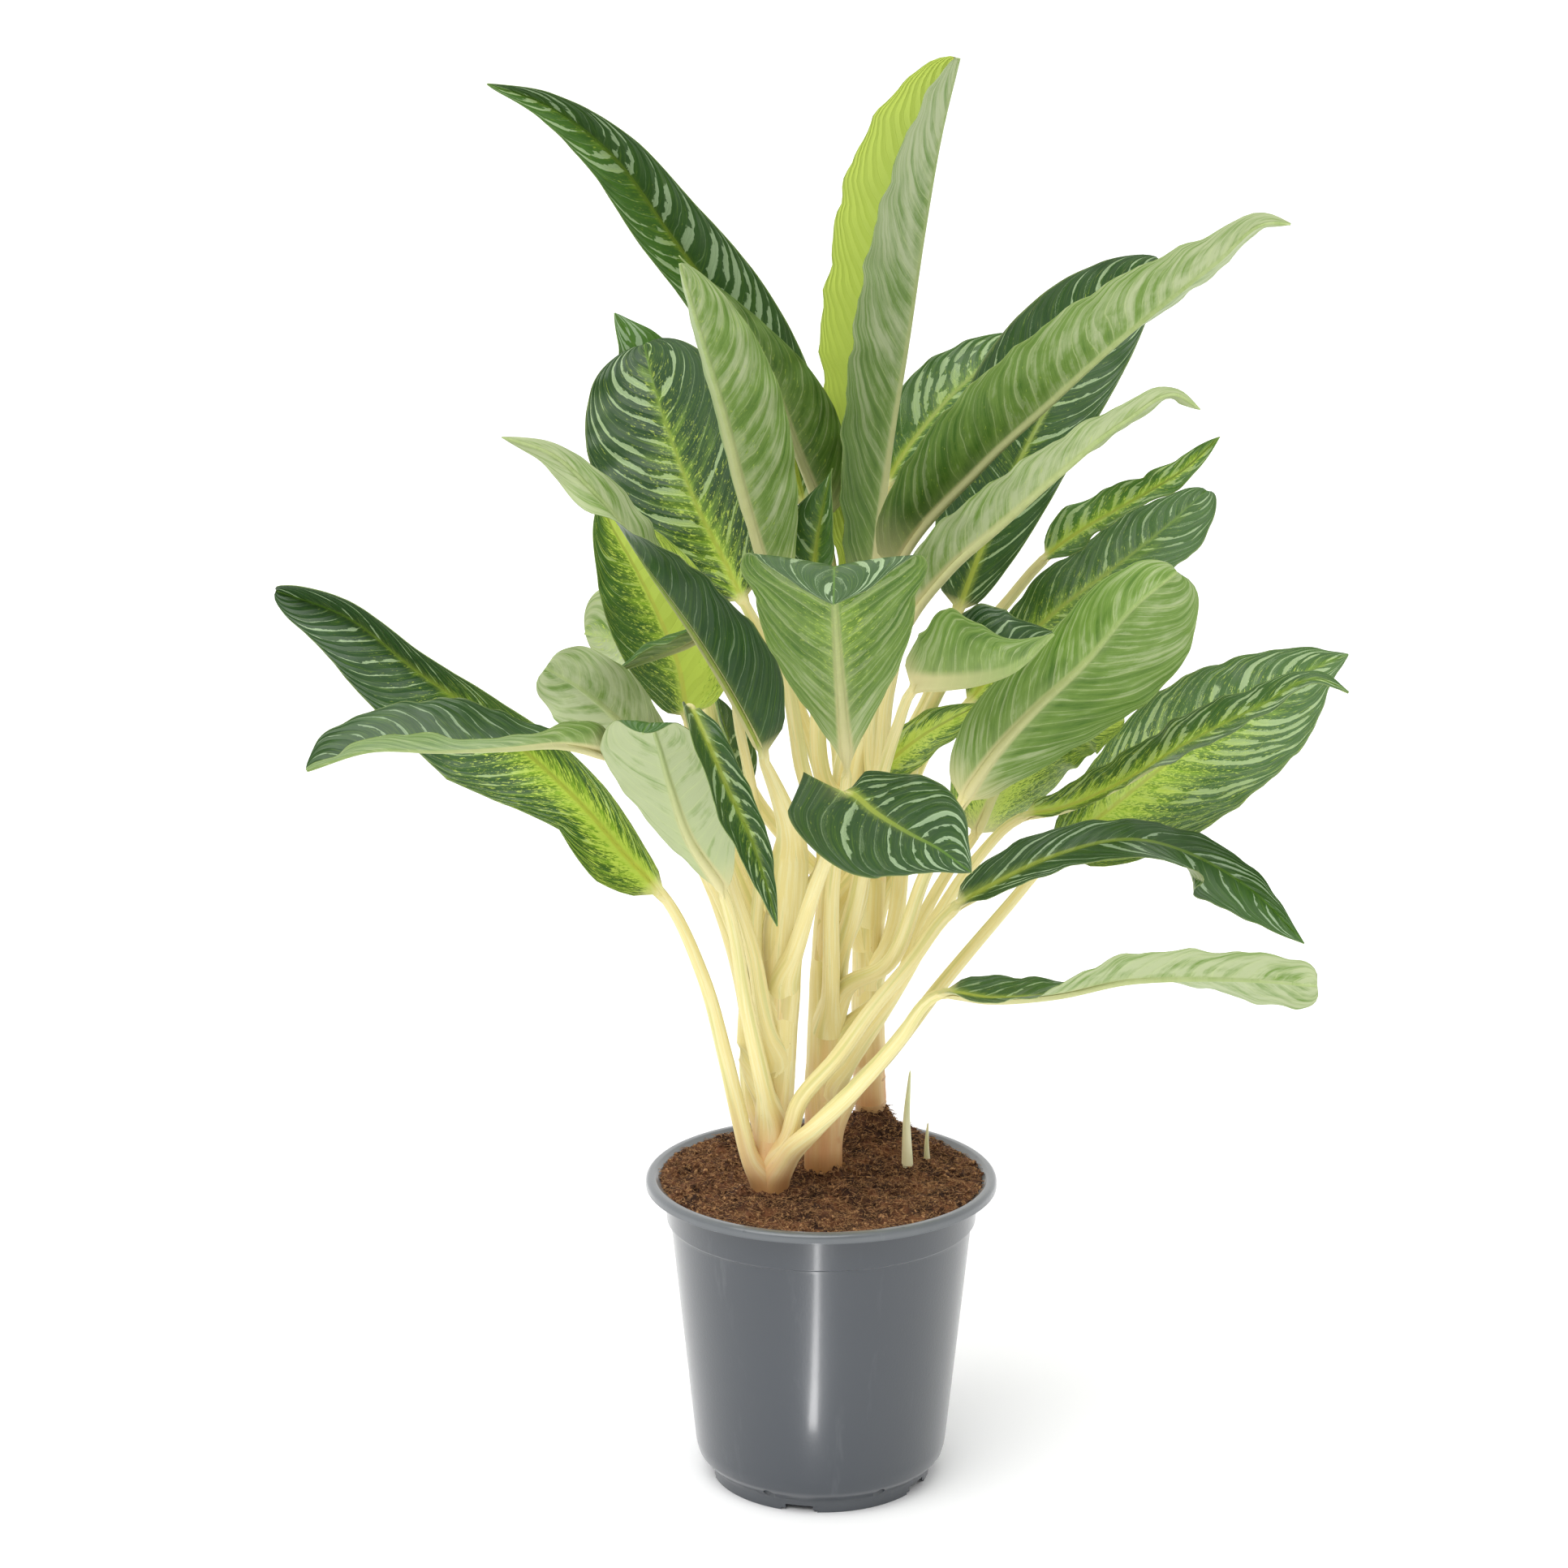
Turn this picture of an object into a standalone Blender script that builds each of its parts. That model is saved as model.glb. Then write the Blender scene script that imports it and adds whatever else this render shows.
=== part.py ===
# Potted chinese evergreen: a nursery pot of soil, three canes, two young shoots and 33 leaves.
# Metres, +Z up. The origin is on the ground, on the pot's axis, and the front looks along -Y.

import math

import bmesh
import bpy
import numpy as np
from mathutils import Matrix

CM = 0.01
GAP = 0.0003  # kept between pieces that touch

# Pot
POT_HEIGHT = 0.155
RIM_RADIUS = 0.0862
LIP_DEPTH = 0.0047
MOUTH_RADIUS = 0.081
MOUTH_DEPTH = 0.0055
SHOULDER_RADIUS = 0.0768
STEP_HEIGHT = 0.132
STEP_RADIUS = 0.0741
LEDGE_RADIUS = 0.061
LEDGE_HEIGHT = 0.0115
FOOT_RADIUS = 0.0545
FOOT_WIDTH = 0.003
FOOT_RECESS = 0.0045
CENTRE_PAD_RADIUS = 0.011
WALL = 0.0022
FLOOR = 0.0095
ROUND_SIDES = 48

# Drainage
NOTCHES = 5
NOTCH_WIDTH = 0.018
NOTCH_HEIGHT = 0.0034
NOTCH_TURN = -101
DRAIN_PAIRS = 4
DRAIN_RADIUS = 0.003
DRAIN_CIRCLE = 0.0576
DRAIN_TURN = -133
DRAIN_SPREAD = 17.5

# Soil
SOIL_TOP = 0.1535
SOIL_EDGE = 0.153
SOIL_SIDES = 40
HEAP_HEIGHT = 0.013
HEAP_PLACE = (0.025, 0.055)
HEAP_SPREAD = 0.024
CRUMBLE = 0.0012

# Canes in centimetres: places of the axis from the foot up, radius at the foot and at the top
CANES = {
    "front": dict(
        axis=[(-2.5, -2.4, 13.2), (-2.5, -2.4, 14.6), (-2.5, -2.4, 16), (-2.2, -2.6, 21),
              (-1.9, -3.0, 27), (-1.6, -3.4, 31)],
        radius=(0.82, 0.85)),
    "middle": dict(
        axis=[(0.1, 0.5, 13.2), (0.1, 0.5, 14.6), (0.1, 0.5, 16), (0.2, 0.2, 22),
              (0.6, -0.2, 29), (1.3, -0.2, 35)],
        radius=(0.86, 0.8)),
    "back": dict(
        axis=[(2.5, 5.5, 14), (2.5, 5.5, 15.5), (2.5, 5.5, 17), (2.3, 5.0, 22),
              (2.4, 4.8, 28), (2.6, 5.2, 34)],
        radius=(0.8, 0.65)),
}
SHOOTS = {
    "tall": dict(axis=[(4.3, 0.9, 13.6), (4.3, 0.9, 15), (4.2, 0.8, 18), (4.35, 0.6, 20.6)],
                 radius=(0.36, 0.06)),
    "short": dict(axis=[(5.3, 2.3, 13.8), (5.3, 2.3, 15), (5.25, 2.2, 16.2), (5.3, 2.1, 17.4)],
                  radius=(0.24, 0.05)),
}
STEM_RINGS = 9
STEM_SIDES = 12

# The sight lines that the leaves are traced along: the eye is in front of the pot and above it,
# and looks down on the plant. Columns and rows count from the top left of a square view.
EYE = np.array([0.0, -1.5, 0.688])
EYE_DOWN = math.radians(12.66)
EYE_TURN = math.radians(-0.70)
VIEW_MIDDLE = 966
VIEW_SCALE = 3955.0

# Leaves
BLADE_THICK = 0.11
EDGE_THICK = 0.08
RIB_LEAST = 0.06
STALK_RADIUS = (0.45, 0.26)
ROOT_TAPER = 0.35
ROOT_LENGTH = 2.2
ROOT_RISE = 1.7
STALK_RINGS = 4
BLADE_RINGS = 9
BLEND = 0.05
LOBE_START = 0.015
LOBE_FADE = 0.2
LOBE_RINGS = (0.02, 0.05, 0.09)
TOP = "top"

COLOURS = {
    "pot": (0.11, 0.125, 0.145, 1),
    "soil": (0.09, 0.045, 0.022, 1),
    "cane": (0.72, 0.62, 0.33, 1),
    "shoot": (0.80, 0.75, 0.52, 1),
    "leaf": (0.06, 0.17, 0.05, 1),
}
ROUGHNESS = {"pot": 0.32, "soil": 0.95, "cane": 0.45, "shoot": 0.45, "leaf": 0.42}

LEAVES = []


def leaf(name, cane, height, **shape):
    """One leaf: the cane it grows from, the height of its root there in centimetres, and its form.

    stalk and blade are midrib places, each a column, a row and the centimetres behind the pot's
    axis. face is where the upper side looks, at one place or at several from base to tip. fold is
    how far each half is raised from flat and curl how far its margin bends on, in degrees. left and
    right are as seen along the blade with its upper side up.
    """
    LEAVES.append(dict(name=name, cane=cane, height=height, **shape))


leaf("leaf_upper_left", "back", 30,
     stalk=[(1035, 930, 8), (1015, 760, 9)],
     blade=[(995, 640, 9.5), (955, 500, 10.5), (900, 395, 11), (825, 288, 10.5), (750, 187, 9.5),
            (670, 128, 8.5), (599, 103, 7.5)],
     width=5.8, face=(0, -0.98, 0.2), fold=40, curl=8, widest=0.45,
     wide_left=[0.7, 0.7, 0.72, 0.95, 1.1], wide_right=[1.35, 1.2, 1, 0.78, 0.6])
leaf("leaf_inner_pale", "front", 30,
     stalk=[(985, 930, -3.2)],
     blade=[(952, 745, -4), (916, 610, -5), (893, 516, -6), (868, 430, -7), (837, 324, -8)],
     width=6.0, face=(-0.35, 1, 0.1), fold_left=5, fold_right=95, curl=5, widest=0.5)
leaf("leaf_inner_green", "middle", 33,
     stalk=[(1030, 860, 1.5), (1028, 740, 1)],
     blade=[(1015, 650, 0.4), (979, 549, -1), (954, 480, -2.2), (908, 398, -4), (836, 314, -6)],
     width=5.2, face=(-0.25, 1, 0.3), fold_left=8, fold_right=88, curl=5, widest=0.33,
     wide_left=[1.05, 0.93, 0.62, 0.5])
leaf("leaf_crown", "middle", TOP,
     stalk=[(1060, 920, 0.8), (1066, 850, 1)],
     blade=[(1071, 770, 1), (1093, 560, 1.5), (1116, 419, 2), (1138, 276, 2), (1159, 160, 1.5),
            (1181, 70, 1)],
     width=10.4, face=(-1, -0.1, 0.25), fold_right=34, fold_left=76, curl=4, widest=0.55,
     wide_right=[1, 1, 1, 0.95, 0.9], wide_left=[0.7, 0.66, 0.7, 0.68, 0.8, 0.8, 0.9, 0.95, 1])
leaf("leaf_upper_right", "middle", 31.5,
     stalk=[(1074, 900, -1.2), (1086, 800, -1.8)],
     blade=[(1100, 715, -2.6), (1210, 574, -6), (1295, 495, -8), (1379, 419, -10), (1500, 322, -12),
            (1560, 275, -12.8), (1592, 276, -13.2)],
     width=6.7, face=(-0.45, 0.85, 0.35), fold_right=12, fold_left=[66, 60, 38, 25], curl=6)
leaf("leaf_back_right", "back", 32,
     stalk=[(1105, 960, 4.8), (1150, 845, 4.2)],
     blade=[(1178, 760, 4), (1220, 650, 4.4), (1270, 540, 5.2), (1335, 435, 6.5), (1390, 362, 7.5),
            (1428, 318, 8)],
     width=6.6, face=(0.1, -0.9, 0.35), fold_right=32, fold_left=8, curl=8,
     wide_left=[1, 1.2, 1.35], wide_right=[0.8, 0.85, 1], widest=0.5)
leaf("leaf_back_centre", "back", TOP,
     stalk=[(1070, 900, 6.2), (1078, 720, 6.6)],
     blade=[(1092, 600, 7.2), (1147, 516, 8), (1200, 462, 9), (1242, 430, 10), (1276, 407, 11)],
     width=5.2, face=(-0.1, -0.65, 0.8), fold=15, curl=8, wide_left=0.85)
leaf("leaf_right_hooked", "middle", 29.2,
     stalk=[(1080, 985, -2.4), (1096, 845, -4.4)],
     blade=[(1112, 783, -5), (1168, 705, -6.5), (1236, 645, -8), (1310, 580, -9.5),
            (1385, 520, -10.5), (1450, 486, -11), (1480, 505, -11.3)],
     width=6.0, face=(-0.4, 0.8, 0.45), fold_right=30, fold_left=[50, 42, 25], curl=6,
     wide_right=[0.8, 0.65, 0.5, 0.4])
leaf("leaf_right_wavy", "back", 24,
     stalk=[(1115, 1010, 3.2), (1128, 920, 2.4), (1180, 812, 1), (1240, 742, -0.2)],
     blade=[(1285, 690, -1.2), (1340, 650, -2.2), (1378, 628, -3), (1420, 604, -3.8),
            (1458, 580, -4.4), (1503, 538, -5)],
     width=3.2, face=[(-0.3, -0.6, 0.75), (-0.5, -0.5, 0.7), (0.1, -0.8, 0.6)], fold=15, curl=8,
     wave=0.2, waves=2.2, wide_left=[1, 1.1, 0.9, 0.5, 0.8, 0.9], wide_right=[1, 1.1, 1.1, 0.5, 1, 0.9])
leaf("leaf_right_round", "back", 27.5,
     stalk=[(1112, 1000, 5.8), (1152, 910, 6.2)],
     blade=[(1188, 872, 6.4), (1240, 812, 6.6), (1300, 755, 7), (1370, 702, 8), (1430, 655, 9.5),
            (1487, 604, 11)],
     width=6.8, face=(-0.1, -0.6, 0.8), fold=15, curl=10, wave=0.2, widest=0.6, wide_left=0.6)
leaf("leaf_right_broad", "middle", 23.5,
     stalk=[(1098, 1183, -4), (1141, 1075, -5.4)],
     blade=[(1184, 992, -6.4), (1225, 930, -7.2), (1272, 878, -8), (1336, 818, -9.5),
            (1400, 745, -11), (1451, 704, -11.8)],
     width=7.8, face=(0.1, 0.88, 0.41), fold_right=[12, 28, 30], fold_left=12, curl=12,
     widest=0.62, tip=0.33, wide_right=[1, 0.55, 0.55], wide_left=[1, 1.1, 1.15])
leaf("leaf_right_inner", "middle", 21.5,
     stalk=[(1100, 1220, 0), (1140, 1122, 0), (1173, 1066, 0.2)],
     blade=[(1200, 1030, 0.2), (1232, 965, 0.2), (1275, 912, 0), (1330, 885, -0.4),
            (1386, 886, -0.8)],
     width=7.0, face=(-0.6, 0.75, 0.5), fold_right=10, fold_left=0, curl=10, wide_left=1.45,
     widest=0.5)
leaf("leaf_right_funnel", "middle", 26,
     stalk=[(1074, 1010, -4.4), (1088, 950, -5.6), (1106, 893, -6.6)],
     blade=[(1124, 850, -7.2), (1162, 845, -8.6), (1204, 840, -10.2), (1250, 824, -11.8),
            (1298, 780, -13)],
     width=7.4, face=(-0.15, 0.1, 1), fold_right=[62, 70, 62], fold_left=[78, 78, 40], curl=8,
     wide_right=[0.8, 0.85, 1.0, 0.8, 0.3], wide_left=[0.7, 0.9, 1.3])
leaf("leaf_centre_bowed", "middle", 23,
     stalk=[(1026, 1090, -4.2), (1038, 1000, -6.4)],
     blade=[(1043, 957, -7.5), (1038, 880, -9.5), (1032, 800, -12), (1028, 728, -15),
            (1028, 698, -17), (1027, 745, -20)],
     width=8.4, face=[(0, 1, 0.5), (0, 0.7, 0.8), (0, -0.1, 1)], fold=12, curl=[8, 8, -20],
     widest=0.76, base=1.5, tip=0.85, wide_left=[1, 1, 0.9, 0.78, 1.05, 1],
     wide_right=[1, 1, 0.9, 0.78, 1.05, 1], strips=3)
leaf("leaf_front_heart", "front", 26,
     stalk=[(998, 1110, -6.6), (1028, 1030, -9)],
     blade=[(1047, 978, -11), (1080, 1002, -13), (1119, 1026, -15.2), (1160, 1048, -17.4),
            (1197, 1075, -19)],
     width=6.0, face=(-0.6, -0.6, 0.53), fold=5, curl=-15, widest=0.32, base=0.35, tip=0.85,
     lobe_left=0.3, lobe_right=3.7, wide_right=[1.1, 0.95, 0.75, 0.78],
     wide_left=[0.5, 0.72, 0.95, 1.2, 1.2], strips=3)
leaf("leaf_left_twisted", "front", TOP,
     stalk=[(972, 1020, -5.2)],
     blade=[(942, 940, -6.6), (902, 862, -7.5), (855, 785, -8.2), (795, 700, -8.8),
            (738, 615, -9.4), (680, 560, -10), (617, 538, -10.4)],
     width=7.0, face=[(-0.31, -0.9, -0.32), (-0.31, -0.9, -0.32), (-0.31, -0.9, -0.32),
                      (-0.5, -0.6, -0.4), (-0.8, 0.1, -0.4), (0, 1, 0.1), (0, 1, 0.1)],
     fold_right=[-50, -50, -50, -40, -30, -10, 0], fold_left=[-80, -80, -80, -75, -50, -10, 0], curl=8,
     wide_left=[0.5, 0.5, 0.6, 0.5, 0.4, 0.5], wide_right=[1.1, 0.95, 0.6, 0.5, 0.45, 0.5])
leaf("leaf_left_oval", "middle", 30.5,
     stalk=[(1008, 940, 3.4), (955, 810, 3.4)],
     blade=[(918, 745, 3.4), (892, 690, 4), (857, 620, 4.6), (828, 545, 5.6), (807, 480, 6.5),
            (793, 424, 7.4)],
     width=8.8, face=(-0.15, -1, 0.3), fold_left=5, fold_right=22, curl=10, widest=0.6, tip=0.36,
     wide_left=0.95)
leaf("leaf_left_hidden", "front", 23,
     stalk=[(900, 1060, 1), (880, 900, 3.5), (853, 790, 5)],
     blade=[(822, 725, 6.4), (805, 640, 7.6), (800, 540, 8.6), (792, 450, 9), (757, 385, 9)],
     width=6.4, face=(0.3, -0.8, 0.5), fold=15, curl=8)
leaf("leaf_left_lime", "front", 27,
     stalk=[(885, 1010, -1)],
     blade=[(848, 887, -0.8), (836, 820, -0.8), (810, 755, -0.8), (780, 695, -0.8),
            (752, 645, -0.8), (738, 612, -0.8)],
     width=6.4, face=(-0.1, -0.9, 0.45), fold_left=30, fold_right=5, curl=8, wide_left=[0.8, 1],
     wide_right=[1, 0.8])
leaf("leaf_left_pale", "back", 26,
     stalk=[(935, 990, 4.5), (875, 880, 6)],
     blade=[(838, 845, 7), (800, 812, 8), (762, 788, 9), (721, 780, 9.8)],
     width=6.2, face=(-0.2, 0.9, 0.4), fold=5, curl=5, widest=0.65, tip=0.35)
leaf("leaf_left_small", "front", 24.1,
     stalk=[(936, 1040, -3.6), (912, 900, -4.6)],
     blade=[(880, 778, -4.9), (840, 797, -5.4), (800, 812, -5.8), (761, 826, -6.2)],
     width=3.0, face=(0.2, 0.2, 1), fold=20, curl=10, stalk_radius=(0.34, 0.22))
leaf("leaf_left_olive", "front", 18.5,
     stalk=[(922, 1260, -1.8), (884, 1111, -3.2), (858, 1050, -4.2)],
     blade=[(836, 985, -5.2), (803, 932, -6), (762, 888, -7), (718, 850, -7.8), (672, 822, -8)],
     width=4.8, face=(-0.2, 0.9, 0.5), fold=6, curl=12, widest=0.75, tip=0.25,
     wide_left=[0.7, 0.7, 0.85, 0.95], wide_right=[0.9, 0.85, 1, 1.1])
leaf("leaf_left_grey", "front", 19,
     stalk=[(918, 1230, -6.2), (905, 1150, -7.2)],
     blade=[(893, 1105, -7.9), (850, 1035, -9), (824, 962, -10.9), (809, 910, -12.9), (801, 891, -13.9),
            (792, 903, -14.9)],
     width=6.6, face=[(0.1, 1, 0.3), (0, 1, 0.5), (0, -0.2, 1)], fold_right=8, fold_left=5,
     curl=[8, 8, -15], widest=0.6, base=0.95, tip=0.6, wide_left=[1.2, 1.0, 0.7, 0.7],
     wide_right=[0.5, 0.5, 0.7, 0.92, 0.95])
leaf("leaf_left_hanging", "front", 22,
     stalk=[(930, 1180, -5.2), (900, 1080, -6.4), (876, 985, -7.6), (856, 900, -9.8)],
     blade=[(850, 872, -12.2), (868, 908, -14.2), (899, 979, -14.2), (923, 1029, -14.2),
            (942, 1085, -14), (958, 1142, -14)],
     width=3.4, face=[(0.4, -0.5, 0.9), (0.5, -1, 0.2), (0.5, -1, 0.2)], fold_left=25,
     fold_right=25, curl=25, wide_left=0.55)
leaf("leaf_left_narrow", "front", 25.5,
     stalk=[(925, 1060, 1.6)],
     blade=[(914, 985, 2.4), (903, 940, 2.8), (893, 900, 3), (881, 857, 3.2)],
     width=3.0, face=(0.9, -0.4, 0.2), fold=20, curl=10)
leaf("leaf_low_left", "front", 15.7,
     stalk=[(912, 1380, -3.6), (893, 1300, -4.6), (865, 1200, -5.4)],
     blade=[(822, 1110, -5), (772, 1055, -4.5), (725, 1000, -4), (660, 937, -2.5), (590, 880, -1),
            (510, 824, 1), (430, 762, 2.5), (340, 728, 4)],
     width=6.4, face=(0, -0.98, 0.25), fold_right=[45, 55, 62], fold_left=28, curl=10, wave=0.2,
     waves=2, widest=0.5, tip=0.5, wide_left=[1.2, 1.25, 0.75, 1.05, 1.25, 1.1, 1, 1, 1, 1],
     wide_right=[1, 1, 1, 0.9, 0.7, 0.6, 0.6, 0.65, 0.8, 1])
leaf("leaf_mid_left", "front", 20,
     stalk=[(918, 1190, -3.2), (866, 1060, -5), (805, 965, -8)],
     blade=[(752, 932, -10), (690, 917, -11.6), (620, 921, -12.6), (540, 924, -13), (456, 924, -13),
            (377, 949, -12.8)],
     width=5.2, face=[(-0.1, -0.1, 1), (0, -0.4, 0.9), (0, -0.3, 0.95)], fold_right=30,
     fold_left=38, curl=15, wave=0.25, waves=2, wide_right=[0.5, 0.6, 1, 1], tip=0.6)
leaf("leaf_low_right", "front", 16.6,
     stalk=[(985, 1357, -4.4), (1030, 1304, -4.8), (1075, 1242, -5), (1120, 1188, -5.2)],
     blade=[(1173, 1121, -5.4), (1225, 1090, -5.4), (1300, 1055, -5.4), (1390, 1035, -5),
            (1460, 1050, -4), (1535, 1092, -4.5), (1608, 1163, -5.5)],
     width=7.4, face=(-0.1, -0.55, 0.8), fold_left=25, fold_right=18, curl=12, wave=0.3, waves=1.6,
     wide_left=[0.45, 0.36, 0.34, 0.33, 0.32, 0.4], wide_right=[0.6, 0.4, 0.3, 0.5, 1.15, 1.3, 1.15, 1],
     stalk_radius=(0.45, 0.32))
leaf("leaf_bottom_right", "front", 15.9,
     stalk=[(1002, 1390, -5.4), (1060, 1333, -6.6), (1104, 1284, -7.4)],
     blade=[(1157, 1224, -8.5), (1220, 1230, -9.5), (1300, 1225, -10.5), (1390, 1208, -11.5),
            (1470, 1205, -12.5), (1560, 1208, -13.3), (1624, 1214, -14)],
     width=4.6, face=[(0, -0.25, 1), (0, 0.2, 1), (0, 0.7, 0.7), (0, 0.85, 0.5)], fold=10, curl=10,
     wave=0.25, waves=1.8, stalk_radius=(0.58, 0.3), widest=0.7, base=0.5, tip=0.3,
     wide_right=[1, 0.9, 0.75, 0.75, 0.9, 1], wide_left=[1, 1, 0.9, 1.1, 1.5, 1.7])
leaf("leaf_far_right_back", "middle", 17.5,
     stalk=[(1092, 1300, 1.6), (1158, 1215, 2), (1240, 1118, 2)],
     blade=[(1295, 1055, 2), (1370, 995, 3), (1460, 925, 5), (1545, 872, 7), (1610, 828, 8.5),
            (1662, 806, 9.5)],
     width=9.0, face=(-0.1, -0.55, 0.85), fold=10, curl=8, wide_left=[0.5, 0.65, 0.9, 1],
     wide_right=[1.45, 1.25, 1.2, 1])
leaf("leaf_far_right_front", "middle", 19.6,
     stalk=[(1112, 1205, -2), (1158, 1124, -1), (1205, 1056, -0.6)],
     blade=[(1256, 1008, -1.4), (1310, 996, -1.8), (1380, 966, -3), (1460, 918, -5),
            (1550, 872, -6.5), (1628, 838, -7.6), (1663, 853, -8)],
     width=5.4, face=(0.05, -0.4, 0.9), fold_left=25, fold_right=12, curl=8, wide_left=0.6,
     wide_right=[0.3, 0.5, 0.9, 1.1, 1])
leaf("leaf_inner_speckled", "middle", 27,
     stalk=[(1066, 1050, 1.1), (1074, 990, 1)],
     blade=[(1080, 958, 0.9), (1105, 932, 0.7), (1140, 905, 0.5), (1175, 885, 0.4),
            (1212, 866, 0.5)],
     width=4.4, face=(-0.1, -0.6, 0.8), fold=15, curl=10, wide_left=0.5)
leaf("leaf_furled", "middle", 34,
     stalk=[(1008, 820, -1.4)],
     blade=[(1003, 710, -2.2), (1008, 660, -2.5), (1016, 618, -2.7), (1025, 577, -2.8)],
     width=3.6, face=(-0.3, -0.9, 0.2), fold_left=10, fold_right=40, curl=8, widest=0.3)


def unit(vectors):
    return vectors / np.maximum(np.linalg.norm(vectors, axis=-1, keepdims=True), 1e-9)


def sight(column, row, behind):
    """The place, in centimetres, seen at this column and row that lies `behind` the pot's axis."""
    ahead = np.array([
        math.sin(EYE_TURN) * math.cos(EYE_DOWN),
        math.cos(EYE_TURN) * math.cos(EYE_DOWN),
        -math.sin(EYE_DOWN),
    ])
    right = np.array([math.cos(EYE_TURN), -math.sin(EYE_TURN), 0])
    up = np.cross(right, ahead)
    ray = ahead + (right * (column - VIEW_MIDDLE) + up * (VIEW_MIDDLE - row)) / VIEW_SCALE
    eye = EYE / CM
    return eye + ray * (behind - eye[1]) / ray[1]


def distances(points):
    """How far along the line each of its points is."""
    steps = np.linalg.norm(np.diff(points, axis=0), axis=1)
    return np.concatenate([[0], np.cumsum(steps)])


def smooth_line(points, at):
    """Places at the distances `at` on a smooth line through the points."""
    points = np.asarray(points, float)
    knots = distances(points)
    slopes = np.gradient(points, knots, axis=0)
    i = np.clip(np.searchsorted(knots, at, side="right") - 1, 0, len(points) - 2)
    span = (knots[i + 1] - knots[i])[:, None]
    u = (at - knots[i])[:, None] / span
    start = (2 * u**3 - 3 * u**2 + 1) * points[i] + (u**3 - 2 * u**2 + u) * span * slopes[i]
    end = (3 * u**2 - 2 * u**3) * points[i + 1] + (u**3 - u**2) * span * slopes[i + 1]
    return start + end


def spread(value, t):
    """One number, several numbers, or several directions, read from base (0) to tip (1)."""
    value = np.asarray(value, float)
    if value.ndim == 0:
        return np.full(len(t), float(value))
    where = np.linspace(0, 1, len(value))
    if value.ndim == 1:
        return np.interp(t, where, value)
    return np.stack([np.interp(t, where, column) for column in value.T], 1)


def half_width(t, widest, base, tip):
    """Half a blade's width, as a share of its greatest: t^base up to the widest place, then down."""
    if tip is None:
        tip = base * (1 - widest) / widest
    rise = (t / widest) ** base
    fall = ((1 - t) / (1 - widest)) ** tip
    return rise * fall * (1 - 0.25 * t**6)


def half_section(fold, curl, width, lift, steps):
    """Across one half of a blade: distance out, height and slope at each step from the midrib."""
    fine = np.linspace(0, 1, 25)
    slope = fold + curl * fine
    run = (np.cos(slope)[1:] + np.cos(slope)[:-1]) / 2 * np.diff(fine)
    rise = (np.sin(slope)[1:] + np.sin(slope)[:-1]) / 2 * np.diff(fine)
    out = np.concatenate([[0], np.cumsum(run)]) * width
    height = np.concatenate([[0], np.cumsum(rise)]) * width + lift * fine**2
    return np.interp(steps, fine, out), np.interp(steps, fine, height), np.interp(steps, fine, slope)


def blade_section(shape, t, width, lifts, radius):
    """The outline across the blade at t, as (out to the right, towards the upper side)."""
    strips = shape.get("strips", 2)
    steps = np.arange(1, strips + 1) / strips
    thick = (BLADE_THICK + (EDGE_THICK - BLADE_THICK) * steps) / 2
    upper, lower, folds = {}, {}, {}
    for side, sign in (("left", -1), ("right", 1)):
        fold = math.radians(spread(shape.get("fold_" + side, shape.get("fold", 15)), [t])[0])
        curl = math.radians(spread(shape.get("curl", 10), [t])[0])
        share = spread(shape.get("wide_" + side, 1), [t])[0]
        out, height, slope = half_section(fold, curl, max(width * share, 1e-3), lifts[side], steps)
        over = np.stack([sign * (out - np.sin(slope) * thick), height + np.cos(slope) * thick], 1)
        under = np.stack([sign * (out + np.sin(slope) * thick), height - np.cos(slope) * thick], 1)
        upper[side], lower[side], folds[side] = over, under, fold
    rib = max(radius, RIB_LEAST)
    flank = min(rib * 0.9, max(width * 0.45, 0.03))
    half = BLADE_THICK / 2
    right_flank = (flank, flank * math.tan(folds["right"]) / 2 - half)
    left_flank = (-flank, flank * math.tan(folds["left"]) / 2 - half)
    return np.concatenate([
        upper["left"][::-1], [(0, half)], upper["right"],
        lower["right"][::-1], [right_flank, (0, -half - rib * 1.1), left_flank], lower["left"],
    ])


def stalk_section(upper_count, lower_count, radius):
    """The round of the stalk, with as many points as the blade's outline, its top a little flat."""
    over = np.radians(np.linspace(165, 15, upper_count))
    under = np.radians(np.linspace(-10, -170, lower_count))
    angles = np.concatenate([over, under])
    ring = np.stack([np.cos(angles), np.sin(angles)], 1) * radius
    ring[:upper_count, 1] *= 0.75
    return ring


def stem_rings(piece):
    """Where the rings of a cane or shoot lie, foot to top, and their radii, in centimetres."""
    axis = np.array(piece["axis"], float)
    places = smooth_line(axis, np.linspace(0, distances(axis)[-1], STEM_RINGS))
    return places, np.linspace(*piece["radius"], STEM_RINGS)


def cane_at(name, height):
    """A cane's axis and radius at a height, in centimetres."""
    places, radii = stem_rings(CANES[name])
    place = np.array([np.interp(height, places[:, 2], places[:, k]) for k in range(3)])
    return place, np.interp(height, places[:, 2], radii)


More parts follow.
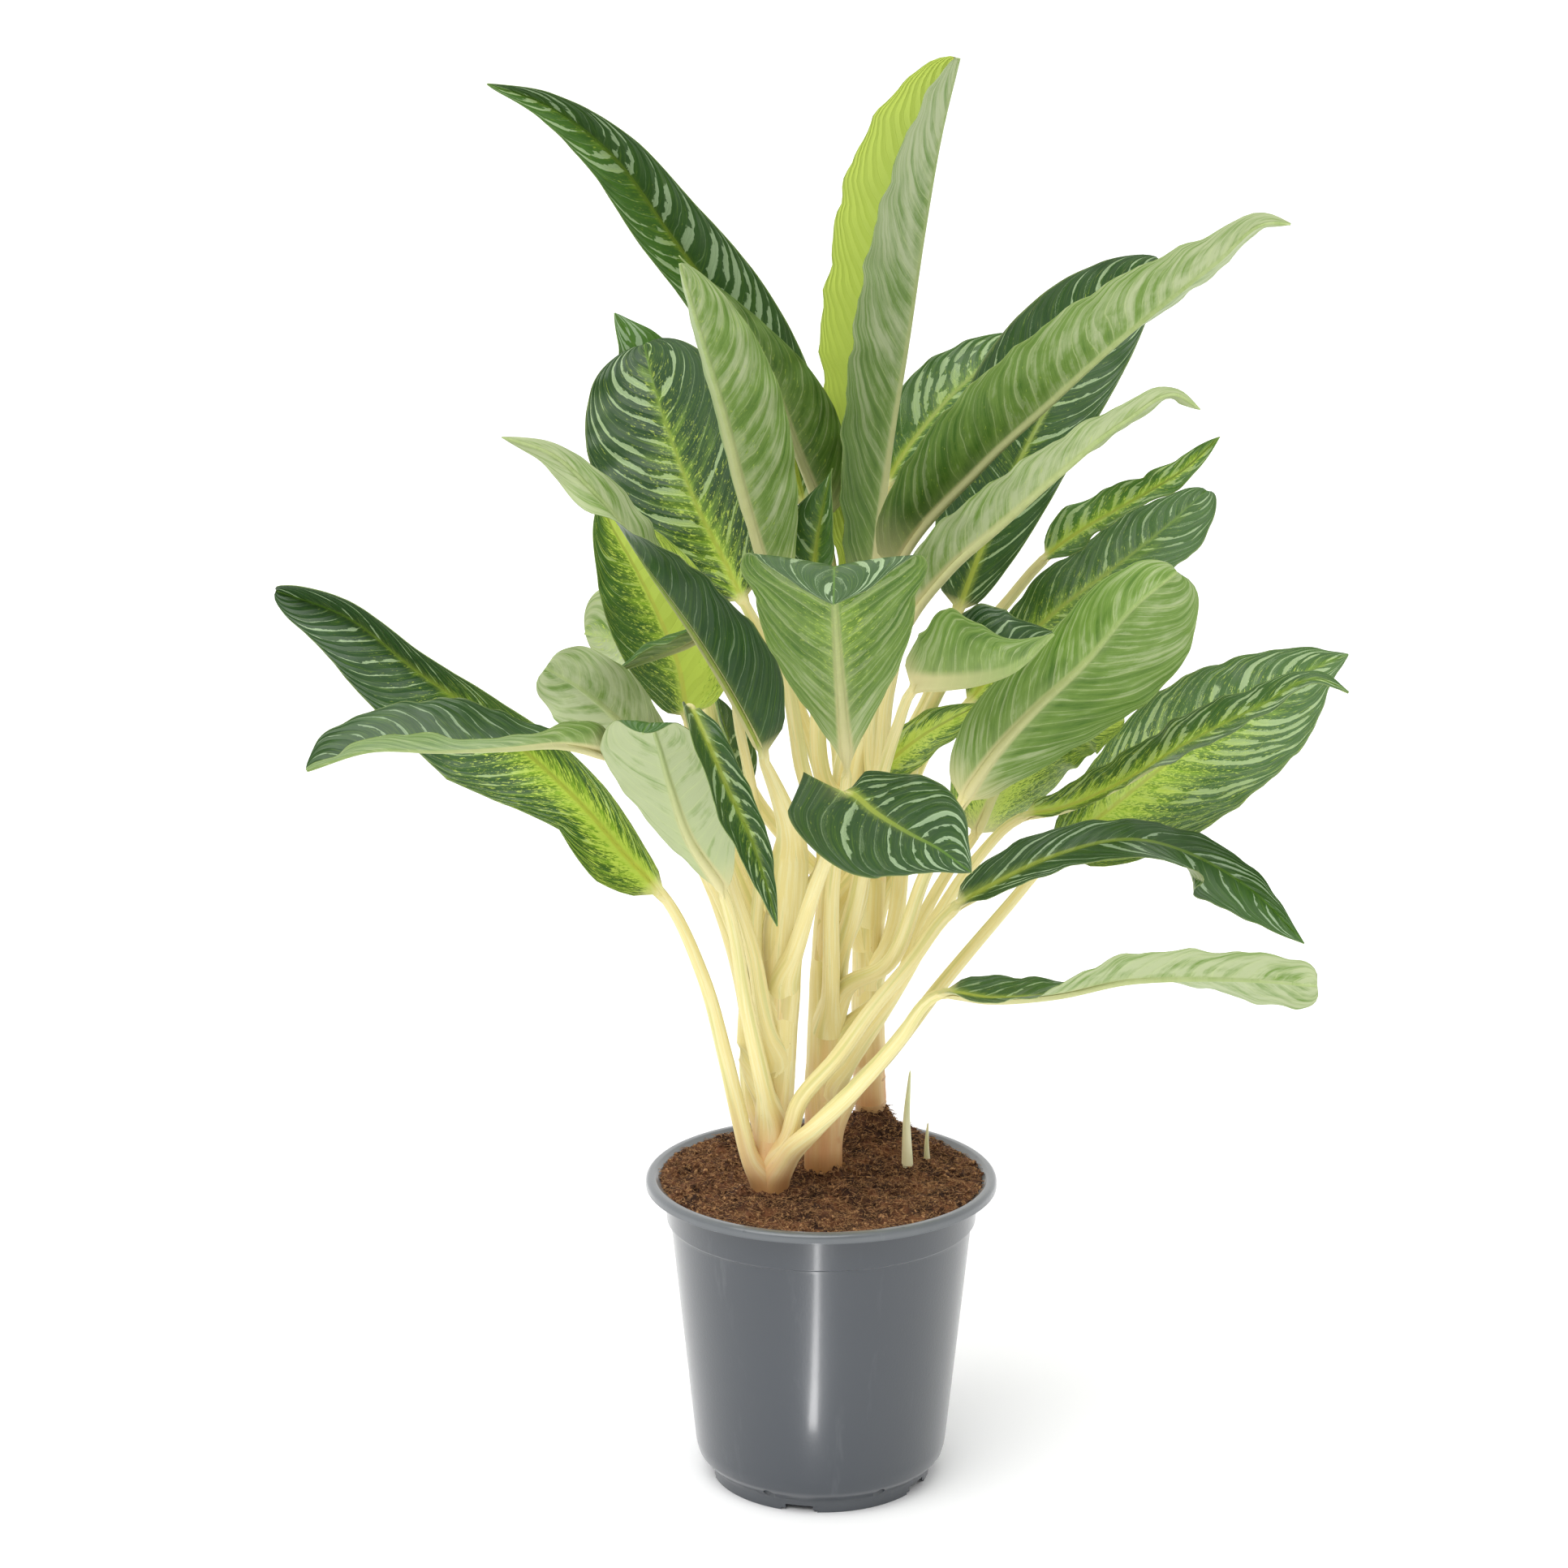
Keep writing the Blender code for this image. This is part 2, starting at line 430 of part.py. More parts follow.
def root_of(shape, way):
    """The first places of a stalk: beside its cane and alongside it, or on top of it."""
    gap = GAP / CM
    if shape["height"] == TOP:
        axis = np.array(CANES[shape["cane"]]["axis"], float)
        up = unit(axis[-1] - axis[-2])
        return [axis[-1] + up * 1.5 * gap, axis[-1] + up * 1.5]
    radius = shape.get("stalk_radius", STALK_RADIUS)[0]
    place, cane_radius = cane_at(shape["cane"], shape["height"])
    out = way[0] - place
    out[2] = 0
    out = unit(out)
    start = place + out * (cane_radius + radius * ROOT_TAPER + gap)
    place, cane_radius = cane_at(shape["cane"], shape["height"] + ROOT_RISE)
    return [start, place + out * (cane_radius + radius * 0.9 + 2 * gap)]


def leaf_rings(shape):
    """The outlines of one leaf, from the root of its stalk to its tip, in centimetres."""
    way = [sight(*point) for point in shape["stalk"]]
    blade = [sight(*point) for point in shape["blade"]]
    stalk = root_of(shape, way + blade) + way
    line = np.array(stalk + blade)
    knots = distances(line)
    start, end = knots[len(stalk)], knots[-1]
    steps = np.linspace(0, 1, BLADE_RINGS + 1) ** 0.9
    steps = 1 - (1 - steps) ** 1.1
    steps[-1] = 0.995
    if "lobe_left" in shape:
        steps = np.sort(np.concatenate([steps, LOBE_RINGS]))
    stalk_at = np.linspace(0, start, STALK_RINGS + 1)[:-1]
    at = np.concatenate([stalk_at, start + (end - start) * steps])
    t = np.clip((at - start) / (end - start), 0, 1)
    centre = smooth_line(line, at)
    step = 0.05
    beyond = smooth_line(line, np.minimum(at + step, end))
    before = smooth_line(line, np.maximum(at - step, 0))
    ahead = unit(beyond - before)
    face = np.array(shape["face"], float)
    look = spread(np.tile(face, (2, 1)) if face.ndim == 1 else face, t)
    normal = unit(look - (look * ahead).sum(1, keepdims=True) * ahead)
    across = np.cross(ahead, normal)
    widest = shape.get("widest", 0.42)
    width = shape["width"] / 2 * half_width(t, widest, shape.get("base", 0.62), shape.get("tip"))
    thick, thin = shape.get("stalk_radius", STALK_RADIUS)
    tapers = shape["height"] != TOP
    if not tapers:
        thick = CANES[shape["cane"]]["radius"][1] * 0.95
    strips = shape.get("strips", 2)
    lobe_way = unit(blade[0] - blade[-1])
    rings = []
    for i, distance in enumerate(at):
        radius = thick + (thin - thick) * min(distance / start, 1)
        if tapers:
            radius *= ROOT_TAPER + (1 - ROOT_TAPER) * min(distance / ROOT_LENGTH, 1)
        radius *= 1 - 0.72 * t[i] ** 0.8
        ring = stalk_section(2 * strips + 1, 2 * strips + 3, radius)
        back = np.zeros(len(ring))
        if distance >= start:
            grow = min((distance - start) / (BLEND * (end - start)), 1)
            half = width[i] * (0.15 + 0.85 * grow)
            turn = 2 * math.pi * shape.get("waves", 3) * t[i]
            lift = shape.get("wave", 0) * min(1, half)
            lifts = {"left": lift * math.sin(turn), "right": lift * math.sin(turn + 1.9)}
            section = blade_section(shape, t[i], half, lifts, radius)
            lobes = np.where(section[:, 0] < 0, shape.get("lobe_left", 0), shape.get("lobe_right", 0))
            reach = np.minimum(np.abs(section[:, 0]) / max(half, 0.2), 1) ** 1.5
            back = lobes * min(1, t[i] / LOBE_START) * math.exp(-((t[i] / LOBE_FADE) ** 2)) * reach
            ring = ring * (1 - grow) + section * grow
        places = centre[i] + ring[:, :1] * across[i] + ring[:, 1:] * normal[i]
        rings.append(places + back[:, None] * lobe_way)
    return np.array(rings)


def loft(rings, upper_count):
    """Triangles over the rings, split along the same diagonal on both sides, and capped ends."""
    count, around = rings.shape[:2]
    faces = []
    for i in range(count - 1):
        for j in range(around):
            a = i * around + j
            b = i * around + (j + 1) % around
            c, d = b + around, a + around
            faces += [(a, b, c), (a, c, d)] if j < upper_count else [(a, b, d), (b, c, d)]
    last = (count - 1) * around
    for j in range(1, around - 1):
        faces += [(0, j + 1, j), (last, last + j, last + j + 1)]
    return faces


def clear_scene():
    for obj in list(bpy.data.objects):
        bpy.data.objects.remove(obj, do_unlink=True)


def make_collections():
    plant = bpy.data.collections.new("potted_chinese_evergreen")
    cutters = bpy.data.collections.new("cutters")
    for collection in (plant, cutters):
        bpy.context.scene.collection.children.link(collection)
    return plant, cutters


def make_material(name):
    material = bpy.data.materials.new(name)
    material.use_nodes = True
    shader = material.node_tree.nodes["Principled BSDF"]
    shader.inputs["Base Color"].default_value = COLOURS[name]
    shader.inputs["Roughness"].default_value = ROUGHNESS[name]
    shader.inputs["Metallic"].default_value = 0
    material.diffuse_color = COLOURS[name]
    return material


def new_object(name, data, collection, material=None):
    obj = bpy.data.objects.new(name, data)
    collection.objects.link(obj)
    if material:
        data.materials.append(material)
    return obj


def applied(obj):
    """The object with its modifiers made real, and its points welded."""
    graph = bpy.context.evaluated_depsgraph_get()
    mesh = bpy.data.meshes.new_from_object(obj.evaluated_get(graph))
    work = bmesh.new()
    work.from_mesh(mesh)
    bmesh.ops.remove_doubles(work, verts=work.verts, dist=1e-6)
    bmesh.ops.recalc_face_normals(work, faces=work.faces)
    work.to_mesh(mesh)
    work.free()
    name, collection, matrix = obj.name, obj.users_collection[0], obj.matrix_world.copy()
    bpy.data.objects.remove(obj, do_unlink=True)
    made = bpy.data.objects.new(name, mesh)
    collection.objects.link(made)
    made.matrix_world = matrix
    return made


def turned(name, profile, sides, collection, material=None):
    """A closed profile of (radius, height), from the axis round to the axis, turned about +Z."""
    mesh = bpy.data.meshes.new(name)
    points = [(radius, 0, height) for radius, height in profile]
    mesh.from_pydata(points, [(i, i + 1) for i in range(len(points) - 1)], [])
    obj = new_object(name, mesh, collection, material)
    screw = obj.modifiers.new("Turn", "SCREW")
    screw.steps = sides
    screw.render_steps = sides
    screw.use_merge_vertices = True
    screw.merge_threshold = 0.00005
    bpy.context.view_layer.update()
    return applied(obj)


def cut(obj, cutter):
    cutter.hide_render = True
    cutter.display_type = "WIRE"
    boolean = obj.modifiers.new("Cut " + cutter.name, "BOOLEAN")
    boolean.operation = "DIFFERENCE"
    boolean.object = cutter


def cutter_from(name, pieces, collection):
    """One cutter of several pieces that don't meet, each added to a bmesh by its own function."""
    work = bmesh.new()
    for add_piece in pieces:
        add_piece(work)
    mesh = bpy.data.meshes.new(name)
    work.to_mesh(mesh)
    work.free()
    return new_object(name, mesh, collection)


def upright(radius, place, low, high, sides=20):
    """Adds an upright cylinder to a bmesh."""
    def add(work):
        middle = (place[0], place[1], (low + high) / 2)
        bmesh.ops.create_cone(work, cap_ends=True, segments=sides, radius1=radius, radius2=radius,
                              depth=high - low, matrix=Matrix.Translation(middle))
    return add


def notch(turn):
    """Adds the box of one foot notch to a bmesh."""
    def add(work):
        length = 3 * FOOT_WIDTH
        height = 2 * NOTCH_HEIGHT
        place = Matrix.Rotation(turn, 4, "Z") @ Matrix.Translation((FOOT_RADIUS - FOOT_WIDTH / 2, 0, 0))
        size = Matrix.Diagonal((length, NOTCH_WIDTH, height, 1))
        bmesh.ops.create_cube(work, size=1, matrix=place @ size)
    return add


def inner_wall(height):
    """The radius inside the pot's wall at a height."""
    heights = (LEDGE_HEIGHT, STEP_HEIGHT, POT_HEIGHT - MOUTH_DEPTH, POT_HEIGHT - 0.0008)
    radii = (LEDGE_RADIUS - WALL, STEP_RADIUS - WALL, SHOULDER_RADIUS - WALL, MOUTH_RADIUS)
    return float(np.interp(height, heights, radii))


def build_pot(plant, cutters):
    lip_low = POT_HEIGHT - LIP_DEPTH
    mouth_low = POT_HEIGHT - MOUTH_DEPTH
    foot_inner = FOOT_RADIUS - FOOT_WIDTH
    profile = [
        (0, FLOOR),
        (foot_inner, FLOOR),
        (LEDGE_RADIUS - WALL - 0.001, LEDGE_HEIGHT + 0.002),
        (inner_wall(LEDGE_HEIGHT + 0.006), LEDGE_HEIGHT + 0.006),
        (inner_wall(STEP_HEIGHT), STEP_HEIGHT),
        (inner_wall(mouth_low), mouth_low),
        (MOUTH_RADIUS, POT_HEIGHT - 0.0008),
        (MOUTH_RADIUS + 0.001, POT_HEIGHT),
        (RIM_RADIUS - 0.0014, POT_HEIGHT),
        (RIM_RADIUS, POT_HEIGHT - 0.0014),
        (RIM_RADIUS + 0.0002, lip_low),
        (SHOULDER_RADIUS + 0.0005, lip_low),
        (SHOULDER_RADIUS - 0.0008, STEP_HEIGHT + 0.001),
        (STEP_RADIUS, STEP_HEIGHT - 0.0006),
        (LEDGE_RADIUS + 0.0014, LEDGE_HEIGHT + 0.006),
        (LEDGE_RADIUS + 0.0002, LEDGE_HEIGHT + 0.0012),
        (LEDGE_RADIUS - 0.001, LEDGE_HEIGHT - 0.0006),
        (FOOT_RADIUS, LEDGE_HEIGHT - 0.0055),
        (FOOT_RADIUS - 0.0002, 0),
        (foot_inner, 0),
        (foot_inner - 0.0006, FOOT_RECESS),
        (CENTRE_PAD_RADIUS + 0.0006, FOOT_RECESS),
        (CENTRE_PAD_RADIUS, 0),
        (0, 0),
    ]
    pot = turned("pot", profile, ROUND_SIDES, plant, make_material("pot"))
    turns = [math.radians(NOTCH_TURN + 360 * k / NOTCHES) for k in range(NOTCHES)]
    cut(pot, cutter_from("foot_notches", [notch(turn) for turn in turns], cutters))
    drains = []
    for k in range(DRAIN_PAIRS):
        for side in (-1, 1):
            turn = math.radians(DRAIN_TURN + 360 * k / DRAIN_PAIRS + side * DRAIN_SPREAD)
            place = (DRAIN_CIRCLE * math.cos(turn), DRAIN_CIRCLE * math.sin(turn))
            drains.append(upright(DRAIN_RADIUS, place, 0.001, 0.02, 12))
    cut(pot, cutter_from("drains", drains, cutters))


def soil_height(x, y):
    """The lie of the soil: a little crumbled, and heaped round the back cane."""
    dip = -0.0015 * math.exp(-((x - 0.01) ** 2 + (y + 0.04) ** 2) / 0.03**2)
    heap = HEAP_HEIGHT * math.exp(-((x - HEAP_PLACE[0]) ** 2 + (y - HEAP_PLACE[1]) ** 2) / HEAP_SPREAD**2)
    crumble = CRUMBLE * (math.sin(170 * x + 60 * y) + math.sin(230 * y - 90 * x)) / 2
    return SOIL_TOP + dip + heap + crumble


def build_soil(plant, cutters):
    edge = inner_wall(SOIL_EDGE) - 2 * GAP
    mouth_low = POT_HEIGHT - MOUTH_DEPTH
    rings = [edge * share for share in (0, 0.16, 0.32, 0.48, 0.64, 0.8, 0.92, 0.985)]
    profile = [
        (0, FLOOR + GAP),
        (FOOT_RADIUS - FOOT_WIDTH, FLOOR + GAP),
        (LEDGE_RADIUS - WALL - 0.0012, LEDGE_HEIGHT + 0.002 + GAP),
        (inner_wall(LEDGE_HEIGHT + 0.006) - 2 * GAP, LEDGE_HEIGHT + 0.006),
        (inner_wall(STEP_HEIGHT) - 2 * GAP, STEP_HEIGHT),
        (inner_wall(mouth_low) - 2 * GAP, mouth_low),
        (edge, SOIL_EDGE),
    ]
    profile += [(radius, SOIL_TOP) for radius in reversed(rings)]
    soil = turned("soil", profile[::-1], SOIL_SIDES, plant, make_material("soil"))
    for vertex in soil.data.vertices:
        x, y, z = vertex.co
        if z > SOIL_TOP - 0.0001:
            fade = min(1, (edge - math.hypot(x, y)) / 0.012)
            vertex.co.z = SOIL_EDGE + (soil_height(x, y) - SOIL_EDGE) * fade
    holes = []
    for piece in list(CANES.values()) + list(SHOOTS.values()):
        x, y, z = (CM * value for value in piece["axis"][0])
        radius = piece["radius"][0] * CM
        holes.append(upright(radius + GAP, (x, y), z - GAP, 0.2))
    cut(soil, cutter_from("stem_holes", holes, cutters))


def build_stem(name, piece, material, plant):
    """A cane or a young shoot: a tapered round along its axis."""
    places, radii = stem_rings(piece)
    curve = bpy.data.curves.new(name, "CURVE")
    curve.dimensions = "3D"
    curve.bevel_depth = 1
    curve.bevel_resolution = STEM_SIDES // 2 - 2
    curve.use_fill_caps = True
    line = curve.splines.new("POLY")
    line.points.add(len(places) - 1)
    for point, place, radius in zip(line.points, places * CM, radii * CM):
        point.co = (*place, 1)
        point.radius = radius
    stem = new_object(name, curve, plant, material)
    bpy.context.view_layer.update()
    stem = applied(stem)
    stem.data.shade_smooth()
    stem.data.set_sharp_from_angle(angle=math.radians(40))


def build_leaf(shape, material, plant):
    rings = leaf_rings(shape)
    upper_count = 2 * shape.get("strips", 2) + 1
    mesh = bpy.data.meshes.new(shape["name"])
    mesh.from_pydata((rings.reshape(-1, 3) * CM).tolist(), [], loft(rings, upper_count))
    new_object(shape["name"], mesh, plant, material)
    mesh.shade_smooth()
    mesh.set_sharp_from_angle(angle=math.radians(50))


def main():
    clear_scene()
    plant, cutters = make_collections()
    build_pot(plant, cutters)
    build_soil(plant, cutters)
    cane_material = make_material("cane")
    for name, piece in CANES.items():
        build_stem("cane_" + name, piece, cane_material, plant)
    shoot_material = make_material("shoot")
    for name, piece in SHOOTS.items():
        build_stem("shoot_" + name, piece, shoot_material, plant)
    leaf_material = make_material("leaf")
    for shape in LEAVES:
        build_leaf(shape, leaf_material, plant)


main()
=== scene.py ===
# Potted chinese evergreen, dressed for a photograph. Run it in Blender 4.5 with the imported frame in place.
import math
import random

import bmesh
import bpy
import numpy as np
from mathutils import Matrix, Vector, noise


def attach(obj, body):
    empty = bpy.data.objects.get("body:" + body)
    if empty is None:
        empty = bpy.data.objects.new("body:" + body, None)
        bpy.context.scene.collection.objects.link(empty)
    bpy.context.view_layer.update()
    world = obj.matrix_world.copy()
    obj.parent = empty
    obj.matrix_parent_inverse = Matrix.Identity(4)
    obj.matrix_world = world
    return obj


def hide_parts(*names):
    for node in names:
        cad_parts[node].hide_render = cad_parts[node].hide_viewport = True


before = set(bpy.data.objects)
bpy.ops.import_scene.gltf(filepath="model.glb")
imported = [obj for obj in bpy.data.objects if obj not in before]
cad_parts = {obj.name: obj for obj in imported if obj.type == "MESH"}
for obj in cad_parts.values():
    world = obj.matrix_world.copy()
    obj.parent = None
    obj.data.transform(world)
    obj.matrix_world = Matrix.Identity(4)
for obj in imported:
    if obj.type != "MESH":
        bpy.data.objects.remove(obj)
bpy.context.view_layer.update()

cm = 0.01  # places and sizes are written in centimetres, unless a note says metres

# where the photograph was taken from; columns and rows count from its top left
shot = dict(eye=(0, -150, 68.8), down=12.66, turn=-0.70, middle=966, scale=3955.0, width=1932, sensor=36)


def rgb(red, green, blue):  # a colour as a paint program shows it, turned into light
    shown = [v / 255 for v in (red, green, blue)]
    return (*[v / 12.92 if v <= 0.04045 else ((v + 0.055) / 1.055) ** 2.4 for v in shown], 1)


# Shader maths: a Wire is a socket that can be added, multiplied and so on
class Wire:
    def __init__(self, sheet, socket):
        self.sheet, self.socket = sheet, socket

    def __add__(self, other):
        return self.sheet.math("ADD", self, other)

    def __sub__(self, other):
        return self.sheet.math("SUBTRACT", self, other)

    def __rsub__(self, other):
        return self.sheet.math("SUBTRACT", other, self)

    def __mul__(self, other):
        return self.sheet.math("MULTIPLY", self, other)

    def __truediv__(self, other):
        return self.sheet.math("DIVIDE", self, other)

    def __pow__(self, other):
        return self.sheet.math("POWER", self, other)

    def __abs__(self):
        return self.sheet.math("ABSOLUTE", self)

    __radd__ = __add__
    __rmul__ = __mul__


class Sheet:  # one material and its nodes
    def __init__(self, name, **fixed):
        self.material = bpy.data.materials.new(name)
        self.material.use_nodes = True
        self.tree = self.material.node_tree
        self.shader = self.tree.nodes["Principled BSDF"]
        for socket, value in fixed.items():
            self.shader.inputs[socket.replace("_", " ")].default_value = value

    def node(self, kind, settings=None, sockets=None, out=0):
        made = self.tree.nodes.new("ShaderNode" + kind)
        for name, value in (settings or {}).items():
            setattr(made, name, value)
        for key, value in (sockets or {}).items():
            self.feed(made.inputs[key], value)
        return Wire(self, made.outputs[out])

    def feed(self, socket, value):
        if isinstance(value, Wire):
            self.tree.links.new(value.socket, socket)
        else:
            socket.default_value = value

    def math(self, operation, *values):
        return self.node("Math", dict(operation=operation), dict(enumerate(values)))

    def clamp(self, value):
        return self.node("Clamp", None, {0: value})

    def step(self, value, low, high):  # 0 below low, 1 above high, smooth between
        return self.node("MapRange", dict(interpolation_type="SMOOTHSTEP"),
                         {"Value": value, "From Min": low, "From Max": high})

    def mix(self, share, first, second):  # from the first colour to the second
        return self.node("Mix", dict(data_type="RGBA"), {0: share, 6: first, 7: second}, 2)

    def vector(self, x, y, z):
        return self.node("CombineXYZ", None, {0: x, 1: y, 2: z})

    def parts(self, vector):
        first = self.node("SeparateXYZ", None, {0: vector})
        return [Wire(self, out) for out in first.socket.node.outputs]

    def attribute(self, name):
        return self.node("Attribute", dict(attribute_name=name), out="Vector")

    def place(self):  # the place on the object, in metres
        return self.node("TexCoord", out="Object")

    def noise(self, vector, scale, detail=2, roughness=0.5):
        return self.node("TexNoise", None, {"Vector": vector, "Scale": scale, "Detail": detail,
                                            "Roughness": roughness})

    def grain(self, x, y, z, detail=3, roughness=0.5):  # noise stretched its own way along each number
        return self.noise(self.vector(x, y, z), 1, detail, roughness)

    def chance(self, vector):  # one random number for each whole place
        return self.node("TexWhiteNoise", dict(noise_dimensions="3D"), {"Vector": vector})

    def finish(self, colour, roughness=None, height=None, strength=0.3, depth=0.001):  # depth in metres
        self.feed(self.shader.inputs["Base Color"], colour)
        if roughness is not None:
            self.feed(self.shader.inputs["Roughness"], roughness)
            bump = self.node("Bump", None, {"Strength": strength, "Distance": depth, "Height": height})
            self.feed(self.shader.inputs["Normal"], bump)
        return self.material


# Mesh helpers
def unit(vectors):
    return vectors / np.maximum(np.linalg.norm(vectors, axis=-1, keepdims=True), 1e-9)


def newPiece(name, data, material=None):
    piece = bpy.data.objects.new(name, data)
    bpy.context.scene.collection.objects.link(piece)
    if material:
        data.materials.append(material)
    return piece


def newMesh(name, work):  # from a bmesh, which ends here
    mesh = bpy.data.meshes.new(name)
    work.to_mesh(mesh)
    work.free()
    return mesh


def faceOut(mesh, merge=0):  # points less than `merge` metres apart become one
    work = bmesh.new()
    work.from_mesh(mesh)
    if merge:
        bmesh.ops.remove_doubles(work, verts=work.verts, dist=merge)
    bmesh.ops.recalc_face_normals(work, faces=work.faces)
    work.to_mesh(mesh)
    work.free()


def plainMesh(piece):  # makes the piece's modifiers real
    bpy.context.view_layer.update()
    graph = bpy.context.evaluated_depsgraph_get()
    old = piece.data
    piece.data = bpy.data.meshes.new_from_object(piece.evaluated_get(graph), depsgraph=graph)
    piece.modifiers.clear()
    bpy.data.meshes.remove(old)


def loft(name, rings):  # a skin over rings of places, closed at both ends
    count, around = rings.shape[:2]
    faces = []
    for i in range(0, (count - 1) * around, around):
        for j in range(around):
            k = (j + 1) % around
            faces.append((i + j, i + k, i + around + k, i + around + j))
    faces += [tuple(range(around))[::-1], tuple(range((count - 1) * around, count * around))]
    mesh = bpy.data.meshes.new(name)
    mesh.from_pydata((rings.reshape(-1, 3) * cm).tolist(), [], faces)
    mesh.shade_smooth()
    return mesh


def distances(points):
    steps = np.linalg.norm(np.diff(points, axis=0), axis=1)
    return np.concatenate([[0], np.cumsum(steps)])


def smoothLine(points, at):  # places at the distances `at` on a smooth line through the points
    points = np.asarray(points, float)
    knots = distances(points)
    slopes = np.gradient(points, knots, axis=0)
    i = np.clip(np.searchsorted(knots, at, side="right") - 1, 0, len(points) - 2)
    span = (knots[i + 1] - knots[i])[:, None]
    u = (at - knots[i])[:, None] / span
    start = (2 * u**3 - 3 * u**2 + 1) * points[i] + (u**3 - 2 * u**2 + u) * span * slopes[i]
    end = (3 * u**2 - 2 * u**3) * points[i + 1] + (u**3 - u**2) * span * slopes[i + 1]
    return start + end


def spread(value, t):  # one number, several numbers or several directions, read from base (0) to tip (1)
    value = np.asarray(value, float)
    if value.ndim == 0:
        return np.full(len(t), float(value))
    where = np.linspace(0, 1, len(value))
    if value.ndim == 1:
        return np.interp(t, where, value)
    return np.stack([np.interp(t, where, column) for column in value.T], 1)


def sight(column, row, behind):  # the place seen at this column and row, `behind` the pot's axis
    down, turn = math.radians(shot["down"]), math.radians(shot["turn"])
    ahead = np.array([math.sin(turn) * math.cos(down), math.cos(turn) * math.cos(down), -math.sin(down)])
    right = np.array([math.cos(turn), -math.sin(turn), 0])
    up = np.cross(right, ahead)
    ray = ahead + (right * (column - shot["middle"]) + up * (shot["middle"] - row)) / shot["scale"]
    eye = np.array(shot["eye"])
    return eye + ray * (behind - eye[1]) / ray[1]


# Pot: a profile turned round, with foot notches and drain holes cut out
pot = dict(
    height=15.5, rim=8.62, mouth=8.1, mouthBend=0.08, mouthDepth=0.55, lip=0.47, shoulder=7.68, step=13.2,
    stepRadius=7.41, ledge=6.1, ledgeHeight=1.15, foot=5.45, footWidth=0.3, recess=0.45, pad=1.1,
    wall=0.22, floor=0.95, sides=180, sharp=35, rimDust=0.2, footDust=(0.2, 1.6),
    notches=5, notchWidth=1.8, notchHeight=0.34, notchBend=0.22, notchTurn=-101,
    drainPairs=4, drain=0.3, drainCircle=5.76, drainTurn=-133, drainSpread=17.5, drainHeight=1.05,
    drainDepth=1.9,
    slate=rgb(48, 54, 62), deep=rgb(48, 53, 60), dust=rgb(138, 142, 143),
)


def rounded(profile, steps=4):  # each (radius, height, bend) corner becomes an arc of that bend
    points = []
    for i, (x, z, bend) in enumerate(profile):
        here = np.array((x, z), float)
        if not bend or i in (0, len(profile) - 1):
            points.append(here)
            continue
        before = np.array(profile[i - 1][:2], float)
        after = np.array(profile[i + 1][:2], float)
        reach = min(bend, np.linalg.norm(before - here) * 0.45, np.linalg.norm(after - here) * 0.45)
        a = here + unit(before - here) * reach
        b = here + unit(after - here) * reach
        for k in range(steps + 1):
            u = k / steps
            points.append((1 - u) ** 2 * a + 2 * u * (1 - u) * here + u**2 * b)
    return points


def turned(name, points, sides):  # the profile screwed round +Z
    mesh = bpy.data.meshes.new(name)
    edges = [(i, i + 1) for i in range(len(points) - 1)]
    mesh.from_pydata([(x * cm, 0, z * cm) for x, z in points], edges, [])
    piece = newPiece(name, mesh)
    screw = piece.modifiers.new("Turn", "SCREW")
    screw.steps = screw.render_steps = sides
    screw.use_merge_vertices = True
    screw.merge_threshold = 0.00002
    plainMesh(piece)
    faceOut(piece.data, merge=1e-6)
    return piece


def innerWall(height):
    mouthLow, mouthTop = pot["height"] - pot["mouthDepth"], pot["height"] - pot["mouthBend"]
    heights = (pot["ledgeHeight"], pot["step"], mouthLow, mouthTop)
    radii = [pot[key] - pot["wall"] for key in ("ledge", "stepRadius", "shoulder")] + [pot["mouth"]]
    return float(np.interp(height, heights, radii))


def makePotMaterial():
    plastic = Sheet("slatePlastic", IOR=1.5, Coat_Weight=0.7, Coat_Roughness=0.15)
    place = plastic.place()
    x, y, z = plastic.parts(place)
    cloud = plastic.noise(place, 18, 4, 0.6)
    grain = plastic.noise(place, 900)
    scuff = plastic.grain(x * 60, y * 60, z * 12, 4, 0.7)
    specks = plastic.step(plastic.noise(place, 260, 1), 0.70, 0.74)
    mouthLow = pot["height"] - pot["mouthDepth"]
    rim = plastic.step(z, mouthLow * cm, (mouthLow + pot["rimDust"]) * cm)
    foot = 1 - plastic.step(z, *[v * cm for v in pot["footDust"]])
    dusty = rim * (0.30 + 0.5 * cloud) + foot * 0.20 + plastic.step(scuff, 0.58, 0.8) * 0.20
    dusty = plastic.clamp(dusty)
    colour = plastic.mix(cloud * 0.35, pot["slate"], pot["deep"])
    colour = plastic.mix(dusty * 0.6, colour, pot["dust"])
    colour = plastic.mix(specks * 0.35, colour, pot["deep"])
    rough = 0.25 + 0.10 * cloud + 0.16 * dusty + 0.05 * grain
    return plastic.finish(colour, rough, grain + cloud * 2, 0.12, 0.0004)


